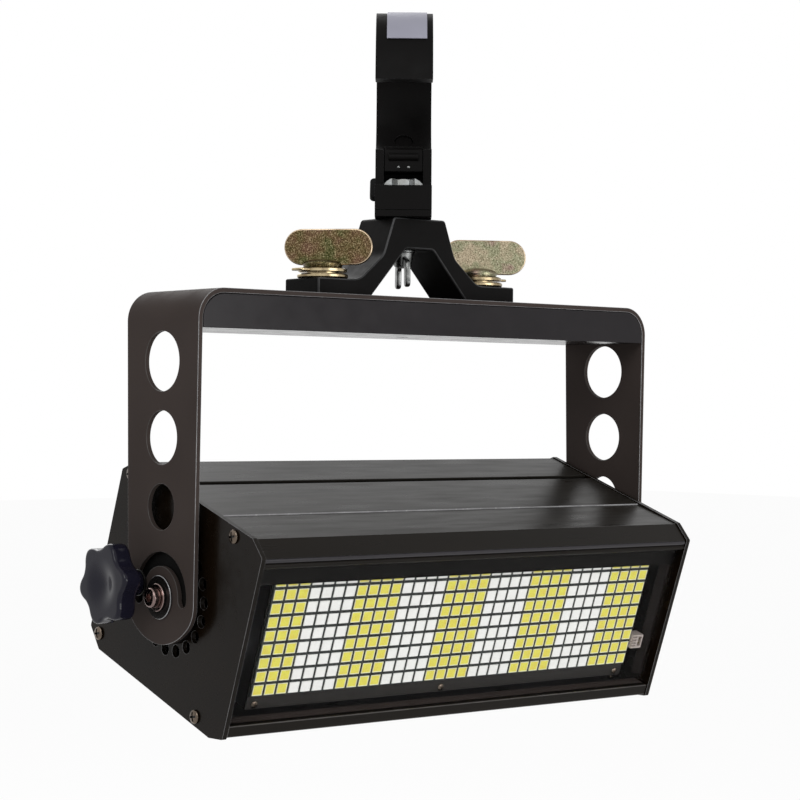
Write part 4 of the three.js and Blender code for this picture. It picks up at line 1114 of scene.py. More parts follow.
    def build_screw(self) -> None:
        """The clamp screw with its hub and flat flag handle."""
        low = self.bore + GAP
        outer, core = self.screw_radius, self.screw_radius - self.thread_depth
        hub, soft = self.hub_radius, self.hub_edge
        profile: list[Point] = [(0.0, low), (core, low), (outer, low + self.thread_depth)]
        turn = low + 0.0014
        while turn < self.boss_reach - self.thread_pitch:
            profile += [(outer, turn), (core, turn + self.thread_pitch / 2)]
            turn += self.thread_pitch
        profile += [
            (outer, self.boss_reach), (outer, self.hub_low), (hub - soft, self.hub_low),
            (hub, self.hub_low + soft), (hub, self.hub_high - soft), (hub - soft, self.hub_high),
            (0.0, self.hub_high),
        ]
        screw = moved(turned(profile, 36), self.along_screw())
        half = self.flag_width / 2
        lift = (self.hub_low + self.hub_high) / 2
        outline = rounded(rectangle((-self.flag_reach, -half), (0.0, half)), [0.003, 0.0, 0.0, 0.003])
        flag = plate(Axis.Z, lift - self.flag_thickness / 2, lift + self.flag_thickness / 2, outline)
        flag = moved(softened(flag, 0.0006), self.along_screw())
        make_piece("screw_with_flag", merged(screw, flag), CAST, "clamp_screw", ["clamp_screw"], CLAMP)

    def build(self) -> None:
        """Builds the clamp's pieces."""
        self.build_hook()
        self.build_saddle()
        self.build_bolt()
        self.build_plates()
        self.build_screw()


@dataclass(frozen=True)
class OmegaBracket:
    """The arched bracket on the crossbar and the wing nut under its arch."""

    depth: float = 0.028
    edge: float = 0.0008
    top: float = -0.0623
    bottom: float = -0.1043
    foot_top: float = -0.0957
    top_half: float = 0.0174
    waist: Point = (0.0245, -0.0822)
    foot_start: float = 0.0405
    foot_end: float = 0.067
    arch_top: float = -0.0783
    arch_top_half: float = 0.0092
    arch_foot_half: float = 0.0326
    bolt_hole: float = 0.0043
    bolt_drill: Point = (-0.09, -0.05)
    stud_drill: Point = (-0.12, -0.09)
    hub_radius: float = 0.0065
    hub_bore: float = 0.0043
    hub_height: float = 0.0084
    wing_reach: float = 0.0146
    wing_drop: float = -0.0981
    wing_thickness: float = 0.0027
    wing_yaw: float = 62.0

    def outline(self) -> list[Point]:
        """The bracket's front view: swept legs on flat feet, over a trapezoid arch.

        Returns:
            The outline's points, in (x, z).
        """
        right = [
            (self.foot_end, self.bottom), (self.foot_end, self.foot_top), (self.foot_start, self.foot_top),
            self.waist, (self.top_half, self.top),
        ]
        rounds = [0.0, 0.0012, 0.011, 0.009, 0.0024]
        left = [(-across, up) for across, up in reversed(right)]
        arch = [
            (-self.arch_foot_half, self.bottom), (-self.arch_top_half, self.arch_top),
            (self.arch_top_half, self.arch_top), (self.arch_foot_half, self.bottom),
        ]
        return rounded([*right, *left, *arch], [*rounds, *reversed(rounds), 0.0, 0.003, 0.003, 0.0], 6)

    def build_bracket(self) -> None:
        """The cast bracket with its three holes."""
        body = plate(Axis.Y, -self.depth / 2, self.depth / 2, self.outline())
        drills = [drum(self.bolt_hole, *self.bolt_drill, 32)]
        for side in Side:
            drills.append(moved(drum(STUD_HOLE, *self.stud_drill, 32), shift(x=side.sign * STUD_PLACE)))
        # The rounds take the lighter cast edge finish: a painted highlight along the bracket's edges.
        body = softened(carved(body, merged(*drills)), self.edge, painted_highlight=1)
        make_piece("bracket_body", body, [CAST, CAST_PAINTED_HIGHLIGHT], "yoke", ["omega_bracket"])

    def wing(self, side: int, low: float, high: float) -> Form:
        """One wing of the nut.

        Args:
            side: Minus one or one, the way it points.
            low: The foot of the hub.
            high: Where the wing meets the hub.

        Returns:
            The wing's form.
        """
        reach, drop = self.wing_reach, self.wing_drop
        corners = [
            (self.hub_bore, low + 0.0006), (reach * 0.58, low - 0.0012), (reach * 0.6, drop),
            (reach, drop), (reach * 0.95, high - 0.003), (self.hub_bore, high),
        ]
        outline = rounded([(side * x, z) for x, z in corners], [0.0, 0.002, 0.0026, 0.0028, 0.005, 0.0])
        return softened(plate(Axis.Y, -self.wing_thickness / 2, self.wing_thickness / 2, outline), 0.0009)

    def build_nut(self) -> None:
        """The plated wing nut with a flanged hub."""
        top = self.arch_top - GAP
        low = top - self.hub_height
        high = top - 0.0028
        neck = self.hub_radius * 0.72
        hub = turned([
            (self.hub_bore, low), (neck - 0.0006, low), (neck, low + 0.0006),
            (self.hub_radius - 0.0006, top - 0.0012), (self.hub_radius, top - 0.0008),
            (self.hub_radius, top), (self.hub_bore, top),
        ], 40, True)
        nut = merged(hub, *(self.wing(side, low, high) for side in (-1, 1)))
        nut = moved(nut, turn_by(self.wing_yaw, "Z"))
        make_piece("nut_with_wings", nut, NUT_STEEL, "wing_nut", ["wing_nut"])

    def build(self) -> None:
        """Builds the bracket and its nut."""
        self.build_bracket()
        self.build_nut()


@dataclass(frozen=True)
class QuarterTurnFastener:
    """One plated fastener: base discs on the bracket's foot and a wing on a stud."""

    side: Side
    yaw: float
    finish: Speckle
    seat: float = -0.0954
    disc: float = 0.0131
    disc_height: float = 0.0022
    lip: float = 0.0006
    neck: float = 0.008
    neck_height: float = 0.0009
    tab_reach: float = 0.0174
    tab_width: float = 0.009
    wing_base: float = 0.0103
    wing_base_height: float = 0.0046
    shift: float = 0.0031
    length: float = 0.0462
    height: float = 0.0186
    thickness: float = 0.0032
    sink: float = 0.0034
    stud: float = 0.0045
    stud_low: float = -0.1193

    @property
    def place(self) -> float:
        """Where its stud stands across the light."""
        return self.side.sign * STUD_PLACE

    @property
    def base_height(self) -> float:
        """The height of its two base discs and the neck between them."""
        return self.disc_height + self.neck_height + self.disc_height

    def build_base(self) -> None:
        """The two base discs, the neck between them and the tab beside them."""
        disc, tall, neck, lip = self.disc, self.disc_height, self.neck, self.lip
        second = tall + self.neck_height
        total = self.base_height
        stack = turned([
            (STUD_HOLE, 0.0), (disc - lip, 0.0), (disc, lip), (disc, tall - lip), (disc - lip, tall),
            (neck, tall), (neck, second), (disc - 2 * lip, second), (disc - lip, second + lip / 2),
            (disc - lip, total - lip), (disc - 3 * lip, total), (STUD_HOLE, total),
        ], 64, True)
        left, right = sorted((self.side.sign * self.tab_reach, self.side.sign * neck * 1.1))
        half = self.tab_width / 2
        outline = rounded(rectangle((left, -half), (right, half)), [0.002] * 4)
        tab = softened(plate(Axis.Z, second + lip / 2, total - lip, outline), 0.0004)
        base = moved(merged(stack, tab), shift(self.place, 0.0, self.seat))
        make_piece(self.side.name("base_discs"), base, ZINC, "yoke", [self.side.name("fastener_base")])

    def build_wing(self) -> None:
        """The wing on its domed disc and stud."""
        seat = self.seat + self.base_height + GAP
        rise = self.wing_base_height
        dome = arc((0.0, seat + rise * 0.35), self.wing_base, 0.0, 90.0, 8, rise * 0.65)
        base = turned([(0.0, seat), (self.wing_base - 0.0005, seat), *dome[:-1], (0.0, seat + rise)], 56)
        stud = pin(self.stud, self.stud_low, seat + 0.0003, 0.0008)
        radius = self.height / 2
        middle = seat + rise - self.sink + radius
        reach = self.length / 2 - radius
        stadium = [
            *arc((self.shift + reach, middle), radius, -90.0, 90.0, 20),
            *arc((self.shift - reach, middle), radius, 90.0, 270.0, 20),
        ]
        # The wing's rounds take the bright gold edge finish: a painted highlight along its rim.
        wing = softened(plate(Axis.Y, -self.thickness / 2, self.thickness / 2, stadium), 0.0006, painted_highlight=1)
        whole = moved(merged(base, stud, wing), shift(x=self.place) @ turn_by(self.yaw, "Z"))
        finishes, nodes = [self.finish, GOLD_PAINTED_HIGHLIGHT], [self.side.name("fastener_wing")]
        make_piece(self.side.name("wing_plate"), whole, finishes, self.side.name("wing"), nodes)

    def build(self) -> None:
        """Builds the base and the wing, and dresses the receptacle in the crossbar."""
        self.build_base()
        self.build_wing()
        dress_node(self.side.name("fastener_receptacle"), ZINC)


@dataclass(frozen=True)
class Yoke:
    """The bent strap with holes and arc slots, and the closed channel under its crossbar."""

    span: float = 0.3034
    thickness: float = 0.0024
    width: float = 0.0616
    bend: float = 0.015
    top: float = -0.1046
    foot_width: float = 0.0564
    foot_radius: float = 0.034
    foot_drop: float = 0.023
    foot_corner: float = 0.015
    hole_radii: tuple[float, ...] = (0.01465, 0.01315, 0.01125)
    hole_drops: tuple[float, ...] = (0.0352, 0.0722, 0.1059)
    slot_width: float = 0.0069
    slot_ends: Point = (-2.0, 182.0)
    bush_hole: float = 0.0063
    channel_bottom: float = -0.124
    channel_wall: float = 0.002
    channel_hole: float = 0.00325
    edge: float = 0.00045

    def front_view(self) -> list[Point]:
        """The strap seen from the front, as one bent band.

        Returns:
            The outline's points, in (x, z).
        """
        half = self.span / 2
        low = PIVOT.z - self.foot_drop - 0.005
        inner = self.bend - self.thickness
        level = self.top - self.bend
        place = half - self.bend
        return [
            (half, low),
            *arc((place, level), self.bend, 0.0, 90.0, 20),
            *arc((-place, level), self.bend, 90.0, 180.0, 20),
            (-half, low), (-half + self.thickness, low),
            *arc((-place, level), inner, 180.0, 90.0, 20),
            *arc((place, level), inner, 90.0, 0.0, 20),
            (half - self.thickness, low),
        ]

    def side_view(self) -> list[Point]:
        """An arm seen from its side: a slight taper down to a rounded foot.

        Returns:
            The outline's points, in (y, z).
        """
        top_half = self.width / 2
        foot_half = self.foot_width / 2
        wide = PIVOT.z - self.foot_drop + self.foot_radius
        corner = foot_half - self.foot_corner
        apart = self.foot_radius - self.foot_corner
        level = wide - math.sqrt(apart * apart - corner * corner)
        meet = math.degrees(math.atan2(level - wide, corner))
        high, bend = self.top + 0.005, self.top - self.bend
        return [
            (top_half, high), (-top_half, high), (-top_half, bend),
            *arc((-corner, level), self.foot_corner, 180.0, 180.0 - meet, 12),
            *arc((0.0, wide), self.foot_radius, 180.0 - meet, 360.0 + meet, 20)[1:-1],
            *arc((corner, level), self.foot_corner, meet, 0.0, 12),
            (top_half, bend),
        ]

    def slot_view(self) -> list[Point]:
        """The arc slot about the pivot, round at both ends.

        Returns:
            The outline's points, in (y, z).
        """
        cap_radius = self.slot_width / 2
        start, stop = self.slot_ends
        pivot = (0.0, PIVOT.z)
        low, high = (arc(pivot, SLOT_RADIUS, angle, angle, 1)[0] for angle in self.slot_ends)
        return [
            *arc(pivot, SLOT_RADIUS + cap_radius, start, stop, 56),
            *arc(high, cap_radius, stop, stop + 180.0, 12)[1:-1],
            *arc(pivot, SLOT_RADIUS - cap_radius, stop, start, 44),
            *arc(low, cap_radius, start + 180.0, start + 360.0, 12)[1:-1],
        ]

    def build_strap(self) -> None:
        """The strap, bent from one band, with a painted highlight along its edges, dimmer round the rims of
        its openings.
        """
        reach = self.span / 2 + 0.01
        half = self.width / 2 + 0.001
        holes = [(self.top - drop, radius) for drop, radius in zip(self.hole_drops, self.hole_radii)]
        band = plate(Axis.Y, -half, half, self.front_view())
        band = carved(band, plate(Axis.X, -reach, reach, self.side_view()), "INTERSECT")
        views = [self.slot_view(), *(ring((0.0, level), radius, 64) for level, radius in holes)]
        views.append(ring((0.0, PIVOT.z), self.bush_hole))
        cutters = [plate(Axis.X, -reach, reach, view) for view in views]
        for side in Side:
            drill = ring((side.sign * STUD_PLACE, 0.0), STUD_HOLE, 32)
            cutters.append(plate(Axis.Z, self.top - 0.01, self.top + 0.01, drill))
        band = softened(carved(band, merged(*cutters)), self.edge, painted_highlight=1)
        # Rounds near an opening swap the bright painted highlight for the dimmer one.
        openings = [*holes, (PIVOT.z, SLOT_RADIUS + self.slot_width / 2)]
        for face in band.faces:
            spot = face.calc_center_median()
            inside = any(
                math.hypot(spot.y, spot.z - level) < radius + 2 * self.edge for level, radius in openings
            )
            if face.material_index == 1 and inside:
                face.material_index = 2
        make_piece("bent_strap", band, [ARM_PAINT, PAINTED_EDGE_HIGHLIGHT, DIM_PAINTED_HIGHLIGHT], "yoke", ["yoke_strap"])

    def build_channel(self) -> None:
        """The closed channel, its upper corners following the bends."""
        half = self.span / 2 - self.thickness - GAP
        corner = self.bend - self.thickness
        high = self.top - self.thickness - GAP
        depth, low, wall = self.width / 2, self.channel_bottom, self.channel_wall
        outline = [
            (-half, low), (half, low),
            *arc((half - corner, high - corner), corner, 0.0, 90.0, 16),
            *arc((-half + corner, high - corner), corner, 90.0, 180.0, 16),
        ]
        inner = half - corner - wall
        hollow = block((-inner, -depth + wall, low + wall), (inner, depth - wall, high + 0.005))
        body = carved(plate(Axis.Y, -depth, depth, outline), hollow)
        drill = plate(Axis.Z, low - 0.005, low + 0.005, ring(MIDDLE, self.channel_hole, 32))
        body = softened(carved(body, drill), 0.0004)
        make_piece("closed_channel", body, BAR_PAINT, "yoke", ["yoke_channel"])

    def build(self) -> None:
        """Builds the yoke's pieces."""
        self.build_strap()
        self.build_channel()


@dataclass(frozen=True)
class TiltLock:
    """What holds the housing's tilt on one side: bush, washers, pivot screw, friction disc and star knob."""

    side: Side
    arm_inner: float = 0.1493
    bush: float = 0.006
    bush_flange: float = 0.0107
    bush_flange_height: float = 0.0009
    shank: float = 0.003
    shank_reach: float = 0.0106
    washer: float = 0.0068
    washer_height: float = 0.0011
    head: float = 0.0049
    head_round: float = 0.0014
    head_height: float = 0.0039
    socket_across: float = 0.004
    socket_depth: float = 0.0024
    disc: float = 0.023
    knob: float = 0.0207
    valley: float = 0.79
    lobes: int = 6
    lobe_steps: int = 16
    knob_thickness: float = 0.0104
    knob_reach: float = 0.0225
    hub: float = 0.0112
    hub_length: float = 0.0054
    dish: float = 0.0128
    dish_depth: float = 0.0023
    dish_shares: tuple[float, ...] = (1.07, 1.0, 0.93, 0.85, 0.76, 0.66, 0.55, 0.42, 0.28, 0.14, 0.05)
    face_fall: float = 0.00004
    knob_washer: float = 0.0012
    knob_washer_radius: float = 0.0065
    stud: float = 0.003
    stud_reach: float = 0.0116

    @property
    def bush_outer(self) -> float:
        """The outer face of the bush's flange."""
        return ARM_OUTER + GAP + self.bush_flange_height

    @property
    def washer_outer(self) -> float:
        """The outer face of the pivot washer."""
        return self.bush_outer + GAP + self.washer_height

    def build_pivot(self) -> None:
        """The flanged bush, the washer and the pivot screw with its hexagon socket."""
        bore = self.shank + GAP
        low, step, top = HALF_WIDTH + GAP, ARM_OUTER + GAP, self.bush_outer
        flange, soft = self.bush_flange, 0.0003
        bush = turned([
            (bore, low), (self.bush, low), (self.bush, step), (flange - soft, step), (flange, step + soft),
            (flange, top - soft), (flange - soft, top), (bore, top),
        ], 56, True)
        turn = HEAD @ outwards(self.side)
        nodes = [self.side.name("pivot_bush")]
        # The bush's chamfers take the light edge finish: a painted highlight round its black flange.
        make_piece(self.side.name("flanged_bush"), rimmed(bush, 1), [GLOSS, PAINTED_EDGE_HIGHLIGHT], "yoke", nodes, turn)
        rim = washer(bore, self.washer, top + GAP, self.washer_outer)
        name, node = self.side.name("pivot_ring"), self.side.name("pivot_washer")
        on_head(name, rim, PINK_STEEL, node, at=outwards(self.side))
        self.build_pivot_screw()

    def build_pivot_screw(self) -> None:
        """The pivot screw, its round head with a hexagon socket."""
        seat = self.washer_outer + GAP
        top = seat + self.head_height
        soft = self.head_round
        dome = arc((self.head - soft, top - soft), soft, 0.0, 90.0, 6)
        end = HALF_WIDTH - self.shank_reach
        screw = turned([
            (0.0, end), (self.shank - 0.0005, end), (self.shank, end + 0.0005), (self.shank, seat),
            (self.head, seat), *dome, (0.0, top),
        ])
        socket = plate(Axis.Z, top - self.socket_depth, top + 0.002, hexagon(self.socket_across))
        screw = softened(carved(screw, socket), 0.00015, 2, 50.0)
        name, node = self.side.name("socket_screw"), self.side.name("pivot_screw")
        on_head(name, screw, PINK_STEEL, node, at=outwards(self.side))

    def build_disc(self) -> None:
        """The friction disc between the arm and the housing."""
        holes = [ring(MIDDLE, self.bush + GAP, 36), ring((SLOT_RADIUS, 0.0), self.stud + GAP, 24)]
        faces = (HALF_WIDTH + GAP, self.arm_inner - GAP)
        low, high = sorted(self.side.sign * face for face in faces)
        disc = softened(plate(Axis.X, low, high, ring(MIDDLE, self.disc, 72), holes), 0.0004)
        on_head(self.side.name("friction_pad"), disc, RUBBER, self.side.name("friction_disc"))

    def lobe_ring(self, size: float, swing: float, height: float) -> list[Vector]:
        """One ring of the knob's skin.

        Args:
            size: The ring's mean radius.
            swing: How far its lobes stand out from that, and its valleys in.
            height: Its place along the knob's axis.

        Returns:
            The ring's points.
        """
        count = self.lobe_steps * self.lobes
        points = []
        for step in range(count):
            turn = 2 * math.pi * step / count
            wave = math.cos(self.lobes * turn)
            shape = wave if wave > 0 else wave * (1 - 0.25 * wave * wave)
            radius = size + swing * shape
            points.append(Vector((radius * math.cos(turn), radius * math.sin(turn), height)))
        return points

    def knob_skin(self, inner: float, outer: float) -> Form:
        """The knob's lobed skin with its dished face.

        Args:
            inner: The height of the face towards the arm.
            outer: The height of the rim round the dish.

        Returns:
            The skin's form.
        """
        mean = self.knob * (1 + self.valley) / 2
        swing = self.knob * (1 - self.valley) / 2
        rims = [
            (0.9, 0.8, inner), (0.955, 0.93, inner + 0.0004), (0.985, 0.98, inner + 0.0012),
            (1.0, 1.0, inner + 0.0026), (1.0, 1.0, outer - 0.0022), (0.995, 1.0, outer - 0.0012),
            (0.978, 0.99, outer - 0.0005), (0.945, 0.95, outer - 0.0001), (0.9, 0.85, outer),
        ]
        loops = [self.lobe_ring(mean * size, swing * wave, height) for size, wave, height in rims]
        for number, share in enumerate(self.dish_shares, 1):
            fall = 0.5 + 0.5 * math.cos(math.pi * min(1.0, share))
            height = outer - self.face_fall * number - self.dish_depth * fall
            loops.append(self.lobe_ring(self.dish * share, 0.0, height))
        return bridged(loops)

    def build_knob(self) -> None:
        """The star knob with its flanged hub and stud, and the washer under it."""
        outer = ARM_OUTER + self.knob_reach
        inner = outer - self.knob_thickness
        face = ARM_OUTER + 2 * GAP + self.knob_washer
        flange = inner - self.hub_length / 2
        hub = turned([
            (0.0, face), (0.0058, face), (0.0062, face + 0.0004), (0.0068, flange - 0.002),
            (self.hub - 0.0006, flange - 0.0006), (self.hub, flange), (self.hub, inner + 0.001),
            (0.0, inner + 0.001),
        ])
        stud = pin(self.stud, HALF_WIDTH - self.stud_reach, face + 0.0005, 0.0005)
        knob = merged(self.knob_skin(inner, outer), hub, stud)
        turn, body = HEAD @ outwards(self.side, SLOT_RADIUS), self.side.name("knob")
        make_piece(self.side.name("lobed_knob"), knob, KNOB, body, [self.side.name("star_knob")], turn)
        low = ARM_OUTER + GAP
        rim = washer(self.stud + GAP, self.knob_washer_radius, low, low + self.knob_washer, 40)
        make_piece(self.side.name("knob_washer"), rim, GLOSS, body, at=turn)

    def build(self) -> None:
        """Builds this side's pieces."""
        self.build_pivot()
        self.build_disc()
        self.build_knob()


@dataclass(frozen=True)
class Housing:
    """The sheet housing's front: two end plates with their screws, the top panel and the bottom panel."""

    half_height: float = 0.0512
    front: float = -0.0614
    rear: float = 0.0632
    front_bevel: float = 0.0101
    top_bevel: float = 0.006
    low_bevel: float = 0.0038
    rear_bevel: float = 0.011
    rear_drop: float = 0.0084
    end_thickness: float = 0.0026
    end_corner: float = 0.0012
    inset: float = 0.0006
    sheet: float = 0.0016
    groove_front: float = 0.019
    groove_rear: float = 0.0234
    groove_depth: float = 0.003
    ridge: float = -0.0205
    ridge_step: float = 0.0005
    bead: float = 0.0027
    bead_proud: float = 0.00012
    sill_end: float = -0.0512
    seam: float = 0.0012
    lip: float = 0.004
    lap: float = 0.024
    mask_edge: float = 0.0289
    mask_thickness: float = 0.001
    vent_circle: float = 0.0265
    vent_radius: float = 0.0032
    vents: int = 18
    vent_turn: float = 0.2
    axis_hole: float = 0.0033
    screw_hole: float = 0.0018
    screw_radius: float = 0.0034
    screw_height: float = 0.0015
    screw_reach: float = 0.006
    recess_depth: float = 0.0011
    recess_reach: float = 0.0023
    recess_half: float = 0.00052
    recess_yaw: float = 28.0

    @property
    def panel_half(self) -> float:
        """Half the width between the end plates."""
        return HALF_WIDTH - self.end_thickness - GAP

    @property
    def screw_places(self) -> dict[str, Point]:
        """Where the end screws stand.

        Returns:
            Their places by name, in (y, z).
        """
        return {
            "front_top": (-0.0375, 0.0465), "front_low": (-0.0375, -0.0465),
            "rear_top": (0.0543, 0.0434), "rear_low": (0.0543, -0.0434),
        }

    def corners(self, inset: float) -> dict[str, Point]:
        """The corners of the housing's side view, in their order round it.

        Args:
            inset: How far inside the end plate's outline they lie.

        Returns:
            The corners by name, in (y, z).
        """
        front, rear, top = self.front + inset, self.rear - inset, self.half_height - inset
        return {
            "top_front": (front + self.front_bevel, top),
            "face_top": (front, top - self.top_bevel),
            "face_low": (front, -top + self.low_bevel),
            "low_front": (front + self.front_bevel + GAP, -top),
            "low_rear": (rear - self.rear_bevel, -top),
            "rear_low": (rear, -top + self.rear_drop),
            "rear_top": (rear, top - self.rear_drop),
            "top_rear": (rear - self.rear_bevel, top),
        }

    def build_end(self, side: Side) -> None:
        """One end plate with its ring of vent holes and its four screws.

        Args:
            side: The side it stands on.
        """
        corners = list(self.corners(0.0).values())
        outline = rounded(corners, [self.end_corner] * len(corners), 3)
        holes = [ring(place, self.axis_hole, 24) for place in (MIDDLE, (SLOT_RADIUS, 0.0))]
        for number in range(self.vents):
            turn = 2 * math.pi * (number + self.vent_turn) / self.vents
            place = (self.vent_circle * math.cos(turn), self.vent_circle * math.sin(turn))
            holes.append(ring(place, self.vent_radius, 20))
        holes += [ring(place, self.screw_hole, 16) for place in self.screw_places.values()]
        low, high = sorted(side.sign * face for face in (HALF_WIDTH - self.end_thickness, HALF_WIDTH))
        drills = [plate(Axis.X, low - self.lip, high + self.lip, hole) for hole in holes]
        # The plate's rounds take the light edge finish, a painted highlight; the walls round its rim and
        # holes take the front tone, painted light on them.
        sheet = softened(carved(plate(Axis.X, low, high, outline), merged(*drills)), 0.0005, 2, painted_highlight=1)
        sheet.normal_update()
        for face in sheet.faces:
            if face.material_index == 0 and abs(face.normal.x) < 0.5:
                face.material_index = 2
        on_head(side.name("end_sheet"), sheet, [END_PAINT, PAINTED_EDGE_HIGHLIGHT, FRONT_PAINTED_LIGHT], side.name("end_plate"))
        for word, place in self.screw_places.items():
            self.build_screw(side, word, place)

    def build_screw(self, side: Side, word: str, place: Point) -> None:
        """One pan-head screw with a cross recess.

        Args:
            side: The side it stands on.
            word: Its place's word.
            place: Its place along the housing's depth and its height.
        """
        seat = HALF_WIDTH + GAP
        end = seat - self.end_thickness - self.screw_reach
        top = seat + self.screw_height
        rim = 0.0004
        dome = arc((0.0, seat + rim), self.screw_radius, 0.0, 90.0, 8, self.screw_height - rim)
        screw = turned([
            (0.0, end), (0.001, end), (0.0015, end + 0.0008), (0.0015, seat),
            (self.screw_radius - 0.0002, seat), *dome[:-1], (0.0, top),
        ], 36)
        floor = top - self.recess_depth
        recess = cross(self.recess_reach, self.recess_half, floor, top + 0.001)
        screw = carved(screw, moved(recess, turn_by(self.recess_yaw, "Z")))
        # The recess's floor and walls take dark gloss black: painted shade in the hollow.
        screw.normal_update()
        for face in screw.faces:
            spot = face.calc_center_median()
            recess_shade = spot.z > floor - 0.00002 and spot.xy.length < self.recess_reach + 0.0003
            if recess_shade and not 0.3 < face.normal.z < 0.9999:
                face.material_index = 1
        name, node = side.name(f"cross_screw_{word}"), side.name(f"screw_{word}")
        on_head(name, screw, [BRONZE, GLOSS], node, at=outwards(side, *place))

    def top_outline(self, beads: Sequence[Point]) -> list[Point]:
        """The top panel's section, its outer line and then its inner one back.

        Args:
            beads: The points of the rolled beads over the window.

        Returns:
            The closed section, in (y, z).
        """
        c, d = self.corners(self.inset), self.corners(self.inset + self.sheet)
        top, under = c["top_front"][1], d["top_front"][1]
        low, step, sheet = top - self.groove_depth, self.ridge_step, self.sheet
        face, face_top = c["face_top"]
        mask_front = GLASS_REAR + GAP / 2
        mask_rear = mask_front + self.mask_thickness
        shelf = WINDOW_TOP + GAP
        behind = face + self.bead + 0.0006
        outer = [
            (self.groove_rear + self.lip, low), (self.groove_front, low), (self.groove_front, top),
            (self.ridge, top), (self.ridge - step, top - step), c["top_front"], (face, face_top),
            *beads, (face + self.bead / 2, shelf), (mask_front, shelf), (mask_front, self.mask_edge),
        ]
        inner = [
            (self.groove_rear + self.lip, low - sheet), (self.groove_front - sheet, low - sheet),
            (self.groove_front - sheet, under - step), (d["top_front"][0] + step, under - step),
            (behind, face_top - sheet), (behind, shelf + sheet), (mask_rear, shelf + sheet),
            (mask_rear, self.mask_edge),
        ]
        return [*outer, *reversed(inner)]

    def build_top(self) -> None:
        """The top panel: groove lip, ridge, front bevel, rolled double bead and the mask behind the glass."""
        bevel, top = self.corners(self.inset)["top_front"]
        face, face_top = self.corners(self.inset)["face_top"]
        radius = self.bead / 2
        beads: list[Point] = []
        for number in range(2):
            middle = face_top - radius - number * self.bead
            beads += arc((face + radius, middle), radius + self.bead_proud, 78.0, 282.0, 12)
        panel = plate(Axis.X, -self.panel_half, self.panel_half, self.top_outline(beads))
        # Every round takes the light edge finish: a painted highlight.
        panel = softened(panel, 0.00022, 2, 25.0, painted_highlight=3)
        shelf = WINDOW_TOP + GAP
        # Behind the bead lies the black mask; faces in front of the bevel take the front tone, painted shade;
        # the upper bead and the ridge's step take painted highlights.
        for part in panel.faces:
            spot = part.calc_center_median()
            if spot.y > face + self.bead * 0.8 and spot.z < shelf + self.sheet * 1.2:
                part.material_index = 1
            elif spot.y < face + radius and face_top - self.bead < spot.z < face_top - 0.0001:
                part.material_index = 4
            elif self.ridge - self.ridge_step < spot.y < self.ridge and spot.z > top - 2 * self.ridge_step:
                part.material_index = 3
            elif part.material_index == 0 and spot.y < bevel:
                part.material_index = 2
        on_head("top_sheet", panel, [TOP_PAINT, MASK_PAINT, FRONT_PAINTED_LIGHT, PAINTED_EDGE_HIGHLIGHT, BEAD_PAINTED_HIGHLIGHT], "top_panel")

    def build_bottom(self) -> None:
        """The bottom panel with the window's lower lip and the sill under the glass."""
        c, d = self.corners(self.inset), self.corners(self.inset + self.sheet)
        end = self.lap - GAP
        seam_front, seam_rear = GLASS_FRONT - GAP, GLASS_FRONT + self.seam
        outer = [(place, WINDOW_BOTTOM) for place in (self.sill_end, seam_rear, seam_front, c["face_low"][0])]
        outer += [c["face_low"], c["low_front"], (end, c["low_rear"][1])]
        inner = [(place, WINDOW_BOTTOM - self.sheet) for place in (self.sill_end, d["face_low"][0])]
        inner += [d["face_low"], d["low_front"], (end, d["low_rear"][1])]
        section = [*outer, *reversed(inner)]
        # The panel takes the front tone, painted shade, and its rounds the dimmer edge finish, a painted
        # highlight.
        panel = softened(plate(Axis.X, -self.panel_half, self.panel_half, section), 0.0005, 2, painted_highlight=1)
        panel.normal_update()
        # On the sill's upward face the strip over the seam stays mask black as a dark joint; the rest takes
        # the lighter arm paint, painted light where light falls on it.
        for face in panel.faces:
            y = face.calc_center_median().y
            if face.material_index == 0 and face.normal.z > 0.9 and seam_front < y < self.sill_end:
                face.material_index = 3 if y < seam_rear else 2
        on_head("bottom_sheet", panel, [FRONT_PAINTED_LIGHT, DIM_PAINTED_HIGHLIGHT, ARM_PAINT, MASK_PAINT], "bottom_panel")

    def build(self) -> None:
        """Builds the housing's front pieces."""
        for side in Side:
            self.build_end(side)
        self.build_top()
        self.build_bottom()


